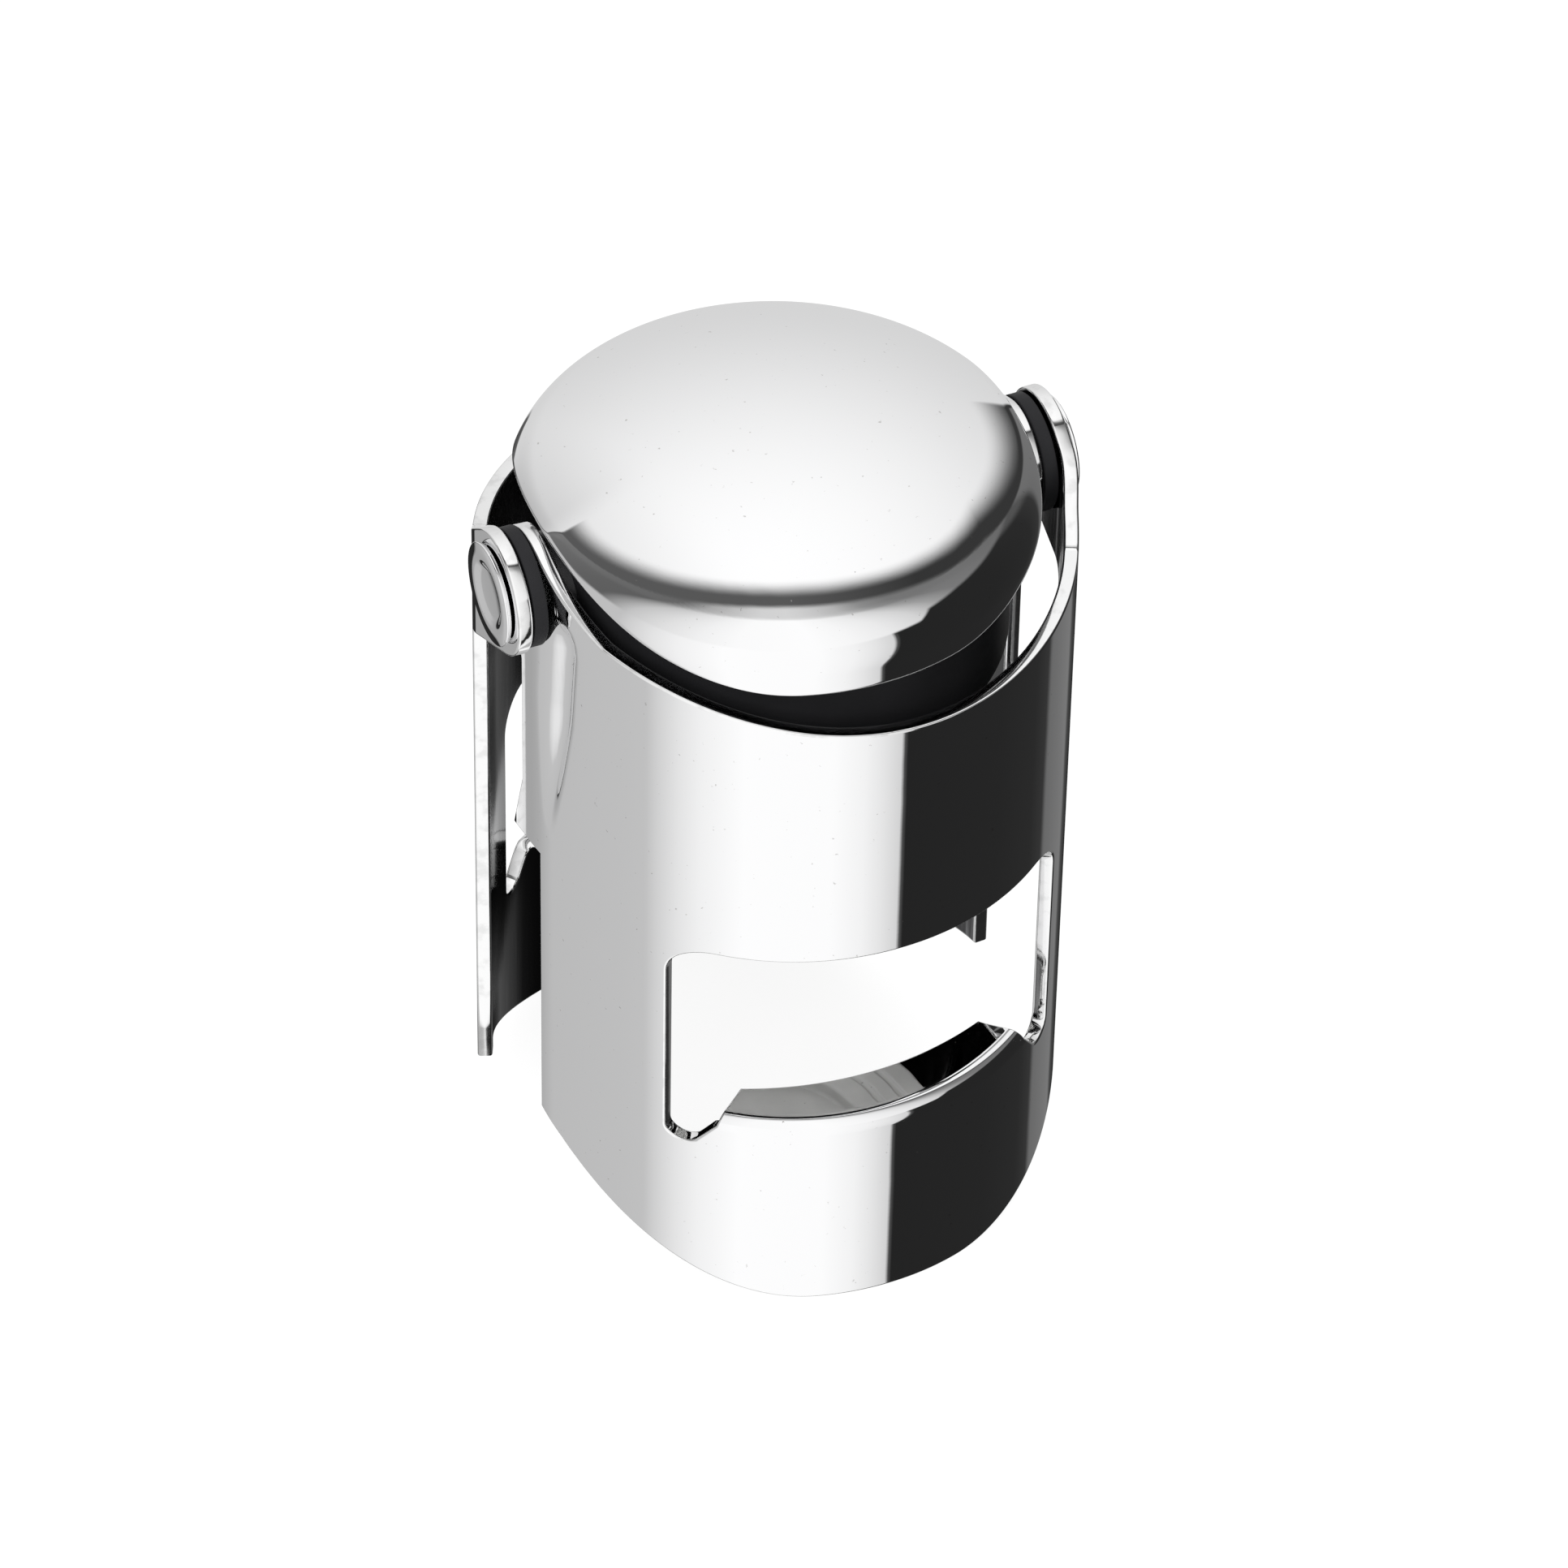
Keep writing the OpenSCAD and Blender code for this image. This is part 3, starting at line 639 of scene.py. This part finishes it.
def arm_sheet(edge_r):
    """Points, faces, finish numbers (outside 0, inside 1, edges 2) and normals of the front arm.
    A normal of nothing leaves that point to the smooth shading."""
    points, faces, rims = arm_blank(edge_r)
    verts, normals = [[], []], [[], []]
    for u, s, depth in points:
        both = np.array(sheet_points(u, s))
        across = (both[1] - both[0]) / np.linalg.norm(both[1] - both[0])
        sink = edge_r - math.sqrt(max(edge_r ** 2 - max(edge_r - depth, 0) ** 2, 0))
        for side in (0, 1):
            verts[side].append(both[side] + across * sink * (1 - 2 * side))
            flat = depth > edge_r - 1e-5
            normals[side].append(face_normal(u, s, side) if flat else np.zeros(3))
    count = len(points)
    finish = [2 if any(points[i][2] < edge_r - 1e-5 for i in f) else 0 for f in faces]
    all_faces = faces + [[i + count for i in f[::-1]] for f in faces]
    all_faces += [[b, a, a + count, b + count] for a, b in rims]
    return (np.array(verts[0] + verts[1]), all_faces,
            finish + [max(k, 1) for k in finish] + [2] * len(rims),
            np.array(normals[0] + normals[1]))


# The rivets, the housing, the plunger, the seal and the spring

RIVET_R, HEAD_R, HEAD_T, DISH_R, DISH_DEPTH = 1.8, 3.45, 0.45, 2.5, 0.25
DISH_FLAT, DISH_EDGE = 1.6, DISH_R - 0.12
HEAD_X, COLLAR_R, COLLAR_X, COLLAR_END, TAIL_X, TAIL_T, TAIL_R = (
    19.36, 2.4, 17.16, 18.125, 13.0, 0.8, 2.7)
# Radius of the dark discs that paint the shade between the ears, and their room round a rivet's
# collar.
GAP_SHADE_R, GAP_SHADE_CLEARANCE = 3.95, 0.04
COIL_R, WIRE_R, FREE_TURNS, COIL_LOW, COIL_HIGH, WEB_Z = 6.4, 0.55, 3.5, 41.67, 51.63, 52.2
CLOSED_PITCH, SLIDE = 1.8, 4.0
SEAL_R, SEAL_LOW, SEAL_TOP, PLATE_LOW, PLATE_TOP, PLATE_HOLE, LIP_R = (
    12.3, 36.0, 41.8, 39.55, 41.15, 11.05, 9.8)
RECESS_R, RECESS_TOP = 7.0, 37.2
GROOVES, GROOVE_W, GROOVE_DEPTH, GROOVE_SLOPE = (8.6, 10.2), 0.6, 0.22, 0.15


def rivet_profile(edge_r):
    """A rivet's half section as (radius, place along the hinge), from the dish to the tail."""
    front = HEAD_X + HEAD_T
    dish = [(0, front - DISH_DEPTH), (0.9, front - DISH_DEPTH + 0.01)]
    for r in np.linspace(DISH_FLAT, DISH_EDGE, 12):
        climb = math.cos(math.pi * (r - DISH_FLAT) / (DISH_EDGE - DISH_FLAT))
        dish.append((r, front - 0.9 * DISH_DEPTH * (0.5 + 0.5 * climb)))
    rim = [(HEAD_R - 0.06, front), (HEAD_R, front - 0.05)]
    rim += [(HEAD_R - edge_r + edge_r * math.cos(a), front - 0.05 - (HEAD_T - 0.07) * math.sin(a))
            for a in np.linspace(0, 0.45 * math.pi, 8)[1:]]
    return (dish + [(DISH_R + 0.1, front)] + rim
            + [(RIVET_R, HEAD_X), (RIVET_R, COLLAR_END), (COLLAR_R - 0.1, COLLAR_END),
               (COLLAR_R, COLLAR_END - 0.1), (COLLAR_R, COLLAR_X + 0.1), (COLLAR_R - 0.1, COLLAR_X),
               (RIVET_R, COLLAR_X), (RIVET_R, TAIL_X), (TAIL_R - 0.1, TAIL_X),
               (TAIL_R, TAIL_X - 0.1), (TAIL_R - TAIL_T / 2, TAIL_X - TAIL_T + 0.1),
               (TAIL_R - TAIL_T / 2 - 0.1, TAIL_X - TAIL_T), (0, TAIL_X - TAIL_T)])


def gap_shade_disc_profile(edge_r):
    """The half section of the dark disc between two ears, round a rivet's collar, which paints the
    shade of the gap between the ears.
    """
    bore = COLLAR_R + GAP_SHADE_CLEARANCE
    corners = [(bore, COLLAR_END), (GAP_SHADE_R, COLLAR_END), (GAP_SHADE_R, COLLAR_X), (bore, COLLAR_X)]
    return rounded(corners, edge_r) + corners[:1]


class Tree(Nodes):
    """A Geometry Nodes tree that is built in the order that its nodes run."""

    def __init__(self, name, **inputs):
        self.tree = bpy.data.node_groups.new(name, "GeometryNodeTree")
        sockets = self.tree.interface.new_socket
        for side in ("INPUT", "OUTPUT"):
            sockets("Geometry", in_out=side, socket_type="NodeSocketGeometry")
        self.names, self.values = {}, inputs
        kinds = {int: "NodeSocketInt", float: "NodeSocketFloat"}
        for key, value in inputs.items():
            self.names[key] = sockets(key.replace("_", " "), in_out="INPUT",
                                      socket_type=kinds.get(type(value), "NodeSocketMaterial"))
        self.start = self.tree.nodes.new("NodeGroupInput")

    def __getattr__(self, key):
        """One of the tree's inputs, by its name."""
        return Wire(self, self.start.outputs[key.replace("_", " ")])

    def grow(self, obj, geometry):
        """Ends the tree, runs it on an object and leaves the result as a plain mesh."""
        real = self.node("RealizeInstances", None, [geometry])
        done = self.node("SetMaterial", None, {0: real, 2: self.Finish})
        end = self.tree.nodes.new("NodeGroupOutput")
        self.feed(end.inputs[0], done)
        grower = obj.modifiers.new(self.tree.name, "NODES")
        grower.node_group = self.tree
        for key, value in self.values.items():
            grower[self.names[key].identifier] = value
        return settle(obj)


def turned_pair(name, finish, profile):
    """A turned section round the hinge's axis, set once at each of its ends."""
    obj = piece(name, [(r, 0, x) for r, x in profile], [], [finish])
    sides = 72
    tree = Tree(name, Sides=sides, Points=len(profile), Hinge_height=HINGE_Z * MM,
                Finish=finish)
    index = tree.node("InputIndex")
    row = (index / (tree.Sides + 1)).math("FLOOR")
    turn = (index - row * (tree.Sides + 1)) * (2 * math.pi) / tree.Sides
    grid = tree.node("MeshGrid", None, {"Size X": 1.0, "Size Y": 1.0,
                                        "Vertices X": tree.Points, "Vertices Y": tree.Sides + 1})
    spot = tree.node("InputPosition")
    taken = tree.node("SampleIndex", {"data_type": "FLOAT_VECTOR", "domain": "POINT"},
                      {"Geometry": tree.Geometry, "Value": spot, "Index": row})
    radius, _, across = tree.split(taken)
    place = tree.node("ShaderNodeCombineXYZ", None, {
        0: across, 1: radius * turn.math("COSINE"),
        2: radius * turn.math("SINE") + tree.Hinge_height})
    turned = tree.node("SetPosition", None, {"Geometry": grid, "Position": place})
    closed = tree.node("MergeByDistance", None, {"Geometry": turned, "Distance": 1e-6})
    ends = tree.node("MeshLine", None, {"Count": 2, "Offset": (0, 0, 0)})
    half_turn = tree.node("ShaderNodeCombineXYZ", None, {2: index * math.pi})
    pair = tree.node("InstanceOnPoints", None, {"Points": ends, "Instance": closed,
                                                "Rotation": half_turn})
    return soften(outward(tree.grow(obj, pair)))


def coil_spring(name, finish):
    """The round wire, swept along a coil whose end turns are closed."""
    turns, steps = FREE_TURNS + 2, 48
    count = int(turns * steps) + 1
    obj = piece(name, [(0, 0, 0)], [], [finish])
    tree = Tree("coil spring", Coil_radius=COIL_R * MM, Wire_radius=WIRE_R * MM, Turns=turns,
                Low=COIL_LOW * MM, High=COIL_HIGH * MM, Points=count, Sides=16, Finish=finish)
    line = tree.node("MeshLine", None, {"Count": tree.Points, "Offset": (0, 0, 0)})
    turn = tree.node("InputIndex") / (tree.Points - 1) * tree.Turns
    pitch = tree.Wire_radius * CLOSED_PITCH
    free = (turn - 1).math("MAXIMUM", 0.0).math("MINIMUM", tree.Turns - 2)
    height = (tree.Low + pitch * turn.math("MINIMUM", 1.0)
              + (tree.High - tree.Low - pitch * 2) * free / (tree.Turns - 2)
              + pitch * (turn - tree.Turns + 1).math("MAXIMUM", 0.0))
    angle = turn * (2 * math.pi)
    place = tree.node("ShaderNodeCombineXYZ", None, {
        0: tree.Coil_radius * angle.math("COSINE"), 1: tree.Coil_radius * angle.math("SINE"),
        2: height})
    path = tree.node("SetPosition", None, {"Geometry": line, "Position": place})
    curve = tree.node("MeshToCurve", None, [path])
    wire = tree.node("CurvePrimitiveCircle", None, {"Resolution": tree.Sides,
                                                    "Radius": tree.Wire_radius})
    tube = tree.node("CurveToMesh", None, {"Curve": curve, "Profile Curve": wire,
                                           "Fill Caps": True})
    return outward(tree.grow(obj, tree.node("SetShadeSmooth", None, [tube])))


def seal_section(angle):
    """The seal's section, with two shallow grooves in the face that meets the bottle."""
    grooves = []
    floor = SEAL_LOW + GROOVE_DEPTH
    for r in GROOVES:
        grooves += [(r, SEAL_LOW), (r + GROOVE_SLOPE, floor), (r + GROOVE_W - GROOVE_SLOPE, floor),
                    (r + GROOVE_W, SEAL_LOW)]
    return rounded([(0, RECESS_TOP), (RECESS_R, RECESS_TOP), (RECESS_R, SEAL_LOW), *grooves,
                    (SEAL_R, SEAL_LOW), (SEAL_R, SEAL_TOP), (LIP_R, SEAL_TOP), (LIP_R, PLATE_TOP),
                    (PLATE_HOLE, PLATE_TOP), (PLATE_HOLE, PLATE_LOW), (0, PLATE_LOW)], 0.3, 5)


def eased(node, name, finish, width):
    """A copy of a CAD node with its edges rounded."""
    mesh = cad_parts[node].data.copy()
    mesh.materials.clear()
    mesh.materials.append(finish)
    bm = bmesh.new()
    bm.from_mesh(mesh)
    bmesh.ops.remove_doubles(bm, verts=bm.verts[:], dist=2e-6)
    bmesh.ops.dissolve_limit(bm, angle_limit=math.radians(1), verts=bm.verts[:], edges=bm.edges[:])
    bm.to_mesh(mesh)
    bm.free()
    for polygon in mesh.polygons:
        polygon.use_smooth, polygon.material_index = True, 0
    obj = bpy.data.objects.new(name, mesh)
    bpy.context.scene.collection.objects.link(obj)
    return soften(obj, width)


# Settings

class StopperLooks(bpy.types.PropertyGroup):
    """Tones and edge sizes of the stopper."""
    chrome_tone: bpy.props.FloatProperty(
        name="Chrome tone", description="Brightness of the mirror chrome", default=0.93,
        min=0.5, max=1.0, subtype="FACTOR")
    # The housing's colour is also that of the dark discs that paint the shade between the ears.
    plastic_tone: bpy.props.FloatVectorProperty(
        name="Housing colour", description="Colour of the moulded housing",
        default=(0.012, 0.012, 0.013), size=3, min=0, max=1, subtype="COLOR")
    rubber_tone: bpy.props.FloatVectorProperty(
        name="Seal colour", description="Colour of the rubber seal",
        default=(0.42, 0.42, 0.41), size=3, min=0, max=1, subtype="COLOR")
    cap_edge: bpy.props.FloatProperty(
        name="Cap edge", description="Rounding of the skirt's edge in millimetres", default=0.28,
        min=0.05, max=0.45)
    arm_edge: bpy.props.FloatProperty(
        name="Arm edge", description="Rounding of the arms' edges in millimetres", default=0.17,
        min=0.1, max=0.45)
    rivet_edge: bpy.props.FloatProperty(
        name="Rivet edge", description="Rounding of the rivets' heads in millimetres",
        default=0.35, min=0.05, max=0.5)
    plastic_edge: bpy.props.FloatProperty(
        name="Moulded edge", description="Rounding of the moulded pieces in millimetres",
        default=0.12, min=0.02, max=0.3)


class Maker:
    """What every operator of this add-on shares."""
    bl_options = {"REGISTER", "UNDO"}

    @property
    def looks(self):
        return bpy.context.scene.stopper_looks


class STOPPER_OT_cap(Maker, bpy.types.Operator):
    """Make the domed chrome cap with its arched skirt"""
    bl_idname = "stopper.cap"
    bl_label = "Cap"

    def execute(self, context):
        verts, faces = lathe(cap_section(self.looks.cap_edge), 288)
        obj = outward(piece("cap_dome", verts, faces,
                            [mirror_chrome("cap chrome", self.looks.chrome_tone)]))
        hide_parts(CAP_NODE)
        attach(obj, "cap_body")
        return {"FINISHED"}


class STOPPER_OT_arms(Maker, bpy.types.Operator):
    """Make the two pressed arms with their ears, windows and hooks"""
    bl_idname = "stopper.arms"
    bl_label = "Arms"

    def execute(self, context):
        # The arms' inside finish is near-black, as painted shade of the inside of the sheet.
        finishes = [mirror_chrome("arm chrome", self.looks.chrome_tone),
                    shade_painted_inside_chrome("arm inside"), rolled_edge("arm edges")]
        verts, faces, indices, normals = arm_sheet(self.looks.arm_edge)
        half_turn = np.array([-1, -1, 1])
        for name, turn, node, body in (
                ("front_arm_sheet", 1, FRONT_NODE, "front_arm_body"),
                ("rear_arm_sheet", half_turn, REAR_NODE, "rear_arm_body")):
            obj = piece(name, verts * turn, faces, finishes, indices, normals * turn)
            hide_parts(node)
            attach(obj, body)
        return {"FINISHED"}


class STOPPER_OT_rivets(Maker, bpy.types.Operator):
    """Make the two rivets with their dished heads, and the dark discs between the ears that paint
    the shade of the gaps
    """
    bl_idname = "stopper.rivets"
    bl_label = "Rivets"

    def execute(self, context):
        chrome = mirror_chrome("rivet chrome", self.looks.chrome_tone)
        obj = turned_pair("hinge_rivets", chrome, rivet_profile(self.looks.rivet_edge))
        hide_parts("left_rivet", "right_rivet")
        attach(obj, "cap_body")
        # A near-black disc between each pair of ears stands for the shade in the gap between them.
        gap_shade = moulded("ear gap painted shade", tuple(self.looks.plastic_tone), 0.5, 1500, 6e-6, 0.08)
        obj = turned_pair("ear_gap_shade_discs", gap_shade, gap_shade_disc_profile(0.12))
        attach(obj, "cap_body")
        return {"FINISHED"}


class STOPPER_OT_housing(Maker, bpy.types.Operator):
    """Make the moulded housing and plunger and the plunger's clip, with eased edges"""
    bl_idname = "stopper.housing"
    bl_label = "Housing, plunger and clip"

    def execute(self, context):
        plastic = moulded("housing plastic", tuple(self.looks.plastic_tone), 0.36, 1500, 6e-6)
        dark = moulded("plunger plastic", (0.05, 0.05, 0.055), 0.42, 1500, 6e-6)
        for node, name, finish, width, slot, body in (
                ("housing", "housing_moulding", plastic, self.looks.plastic_edge,
                 "black_plastic", "cap_body"),
                ("plunger", "plunger_moulding", dark, self.looks.plastic_edge,
                 "grey_plastic", "seal_body"),
                ("retaining_clip", "stem_clip", spring_wire("clip steel"), 0.04,
                 "spring_steel", "seal_body")):
            obj = eased(node, name, finish, width)
            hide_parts(node)
            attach(obj, body)
        return {"FINISHED"}


class STOPPER_OT_seal(Maker, bpy.types.Operator):
    """Make the rubber seal with its recess and sealing grooves"""
    bl_idname = "stopper.seal"
    bl_label = "Seal"

    def execute(self, context):
        rubber = moulded("seal rubber", tuple(self.looks.rubber_tone), 0.66, 1900, 1.2e-5)
        verts, faces = lathe(seal_section, 144)
        obj = soften(outward(piece("seal_disc", verts, faces, [rubber])))
        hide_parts("seal")
        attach(obj, "seal_body")
        return {"FINISHED"}


class STOPPER_OT_spring(Maker, bpy.types.Operator):
    """Make the spring between the housing and the plunger"""
    bl_idname = "stopper.spring"
    bl_label = "Spring"

    def execute(self, context):
        obj = coil_spring("coil_spring", spring_wire("spring wire"))
        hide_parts("spring")
        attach(obj, "cap_body")
        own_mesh(obj)
        return {"FINISHED"}


# The stage

VIEW_LENS, VIEW_DISTANCE = 200.2, 593.98
VIEW_TURN, VIEW_RISE, VIEW_ROLL = 23.53, 42.682, 1.156
VIEW_SHIFT, SENSOR = (0.87, 21.77), 36


def place_camera():
    """The camera at the photograph's view."""
    a, e, roll = (math.radians(v) for v in (VIEW_TURN, VIEW_RISE, VIEW_ROLL))
    back = Vector((-math.cos(e) * math.sin(a), -math.cos(e) * math.cos(a), math.sin(e)))
    right = Vector((math.cos(a), -math.sin(a), 0))
    up = back.cross(right)
    spot = back * VIEW_DISTANCE + right * VIEW_SHIFT[0] + up * VIEW_SHIFT[1]
    right, up = (math.cos(roll) * right + math.sin(roll) * up,
                 -math.sin(roll) * right + math.cos(roll) * up)
    data = bpy.data.cameras.new("camera")
    data.lens, data.sensor_width = VIEW_LENS, SENSOR
    data.clip_start, data.clip_end = 0.01, 20
    obj = bpy.data.objects.new("camera", data)
    bpy.context.scene.collection.objects.link(obj)
    obj.matrix_world = Matrix.Translation(spot * MM) @ Matrix(
        (right, up, back)).transposed().to_4x4()
    bpy.context.scene.camera = obj


# The tent's light round the horizon, as screen grey against the turn from the front in degrees,
# under and over the card's upper edge, and that edge's height against the turn.
TENT_R, TENT_Z, TENT_LEVEL, SCREEN_GAMMA = 4000, 30, 1.075, 2.2
LOW_LIGHT = [(-180, 44), (-164.5, 40), (-160.5, 158), (-152, 166), (-140, 184), (-96, 188),
             (-85, 190), (-80, 205), (-70, 226), (-60, 240), (-42, 253), (-6, 252), (7, 242),
             (15, 228), (23, 208), (24, 40), (72, 42), (96, 46), (106, 56), (109, 104), (132, 118),
             (136, 70), (146, 44), (166, 44), (180, 44)]
HIGH_LIGHT = [(-180, 200), (-158, 196), (-146, 165), (-134, 107), (-112, 96), (-99, 94),
              (-92, 150), (-84, 194), (-68, 223), (-53, 240), (-38, 250), (-8, 253), (7, 246),
              (22, 234), (37, 210), (50, 155), (62, 120), (80, 113), (100, 100), (120, 120),
              (150, 200), (180, 190)]
CARD_TOP = [(-180, 0.4), (-100, 0.4), (-60, 0.3), (20, 0.25), (36, 0.28), (44, 0.49),
            (60, 0.53), (110, 0.53), (140, 0.46), (180, 0.46)]
PANEL_AIM, PANEL_EDGE = (0.207, 0.518, 0.83), 0.779
# How the panel's edge drops low at the right, where it ends behind, and over which distances
# from that edge its light, the dark band round it and the haze outside the band fade in.
PANEL_DROP, PANEL_BACK = (0.65, 0.317, 0.18), (0.60, 0.70)
PANEL_RAMP, BAND_RAMP, HAZE_RAMP = (-0.012, 0.036), (-0.048, -0.03), (-0.16, -0.08)
SOFTBOX_SIZE, SOFTBOXES = 450, (((-350, -420, 520), 7.0), ((420, 260, 560), 4.0))


def tent_finish():
    """Light of the tent round the stopper, as its mirror faces show it: a bright front,
    a grey left, a dark card at the right, and a pale panel above and behind."""
    f = Finish("tent light")
    spot = f.node("ShaderNodeTexCoord", out=3)
    centred = f.node("ShaderNodeVectorMath", {"operation": "SUBTRACT"},
                     [spot, (0, 0, TENT_Z * MM)])
    aim = f.node("ShaderNodeVectorMath", {"operation": "NORMALIZE"}, [centred])
    x, y, z = f.split(aim)
    turn = x.math("ARCTAN2", y * -1.0) / (2 * math.pi) + 0.5

    def ring(stops, exponent=1.0, scale=1.0):
        return f.node("ShaderNodeValToRGB", {"stops": [
            ((a + 180) / 360, (g / scale) ** exponent) for a, g in stops]}, [turn])

    def mix(mask, below, above):
        return f.node("ShaderNodeMix", {"data_type": "RGBA"}, {0: mask, 6: below, 7: above}, out=2)

    def grey(level):
        return f.node("ShaderNodeCombineColor", None, {0: level, 1: level, 2: level})
    low, high = (ring(stops, SCREEN_GAMMA, 255) for stops in (LOW_LIGHT, HIGH_LIGHT))
    side = mix((z - ring(CARD_TOP)).between(-0.03, 0.05), low, high)
    short = (PANEL_DROP[0] - z).math("MAXIMUM", 0.0)
    right = (x * 2.0).math("MAXIMUM", 0.0).math("MINIMUM", 1.0)
    into_panel = (x * PANEL_AIM[0] + y * PANEL_AIM[1] + z * PANEL_AIM[2] - PANEL_EDGE
                  + (short * short * PANEL_DROP[1] + short * PANEL_DROP[2]) * right
                  + (y - right * 0.06).between(*PANEL_BACK) * 0.6)
    sky = (z * z * 0.19 + z * 0.14 + 0.67).math("MAXIMUM", 0.45) * (
        1 - (0 - x).between(0.1, 0.6) * (y.between(0.58, 0.7) * 0.2 + 0.12))
    wedge = y.between(0.3, 0.5) * (0 - x).between(0, 0.2)
    dark = right * -0.06 + 0.095
    haze = into_panel.between(*HAZE_RAMP) * (wedge * 0.45 + 0.4)
    hazed = mix(haze, side, (0.16, 0.16, 0.16, 1))
    band = mix(into_panel.between(*BAND_RAMP), hazed, grey(dark))
    light = mix(into_panel.between(*PANEL_RAMP), band, grey(sky))
    glow = f.node("ShaderNodeEmission", None, {"Color": light, "Strength": TENT_LEVEL})
    f.tree.links.new(glow.socket, f.output.inputs[0])
    return f.material


def ball(radius, middle, around=48, rows=24):
    """Points and faces of a ball about a point of the vertical axis."""
    angles = np.linspace(0, math.pi, rows + 1)
    section = [(radius * math.sin(a), middle + radius * math.cos(a)) for a in angles]
    section[0], section[-1] = (0, middle + radius), (0, middle - radius)
    return lathe(lambda turn: section, around)


def floor_finish():
    """A white table that keeps a little of the stopper's shadow."""
    f = Finish("white table")
    matt = f.node("ShaderNodeBsdfDiffuse", None, {"Color": (0.88, 0.88, 0.88, 1)})
    glow = f.node("ShaderNodeEmission", None, {"Color": (1, 1, 1, 1), "Strength": 1.0})
    seen = f.node("ShaderNodeLightPath", out=0)
    both = f.node("ShaderNodeMixShader", None, {0: seen * 0.9, 1: matt, 2: glow})
    f.tree.links.new(both.socket, f.output.inputs[0])
    return f.material


class STOPPER_OT_stage(Maker, bpy.types.Operator):
    """Make the table, the light tent, the lamps and the camera"""
    bl_idname = "stopper.stage"
    bl_label = "Stage"

    def execute(self, context):
        scene = context.scene
        scene.view_settings.view_transform = "Standard"
        half, low = 3000, -0.02
        floor = piece("table", [(-half, -half, low), (half, -half, low), (half, half, low),
                                (-half, half, low)], [[0, 1, 2, 3]], [floor_finish()])
        tent = piece("light_tent", *ball(TENT_R, TENT_Z), [tent_finish()])
        for ray in ("camera", "diffuse", "transmission", "shadow"):
            setattr(tent, "visible_" + ray, False)
        floor.visible_glossy = False
        for spot, power in SOFTBOXES:
            data = bpy.data.lights.new("softbox", "AREA")
            data.size, data.energy = SOFTBOX_SIZE * MM, power
            lamp = bpy.data.objects.new("softbox", data)
            scene.collection.objects.link(lamp)
            place = Vector(spot)
            turn = (place - Vector((0, 0, TENT_Z))).to_track_quat("Z", "Y").to_matrix().to_4x4()
            lamp.matrix_world = Matrix.Translation(place * MM) @ turn
            lamp.visible_glossy = False
        world = bpy.data.worlds.new("studio")
        scene.world = world
        world.use_nodes = True
        colour, strength = world.node_tree.nodes["Background"].inputs[:2]
        colour.default_value, strength.default_value = (1, 1, 1, 1), 1.0
        place_camera()
        return {"FINISHED"}


class STOPPER_PT_panel(bpy.types.Panel):
    """Sidebar panel of the stopper's pieces"""
    bl_idname = "STOPPER_PT_panel"
    bl_label = "Bottle stopper"
    bl_space_type = "VIEW_3D"
    bl_region_type = "UI"
    bl_category = "Stopper"

    def draw(self, context):
        for name in StopperLooks.__annotations__:
            self.layout.prop(context.scene.stopper_looks, name)
        for operator in OPERATORS:
            self.layout.operator(operator.bl_idname)


OPERATORS = (STOPPER_OT_cap, STOPPER_OT_arms, STOPPER_OT_rivets, STOPPER_OT_housing,
             STOPPER_OT_seal, STOPPER_OT_spring, STOPPER_OT_stage)


def register():
    for cls in (StopperLooks, *OPERATORS, STOPPER_PT_panel):
        bpy.utils.register_class(cls)
    bpy.types.Scene.stopper_looks = bpy.props.PointerProperty(type=StopperLooks)


def unregister():
    del bpy.types.Scene.stopper_looks
    for cls in (STOPPER_PT_panel, *reversed(OPERATORS), StopperLooks):
        bpy.utils.unregister_class(cls)


def main():
    register()
    bpy.ops.stopper.cap()
    bpy.ops.stopper.arms()
    bpy.ops.stopper.rivets()
    bpy.ops.stopper.housing()
    bpy.ops.stopper.seal()
    bpy.ops.stopper.spring()
    bpy.ops.stopper.stage()


if __name__ == "__main__":
    main()
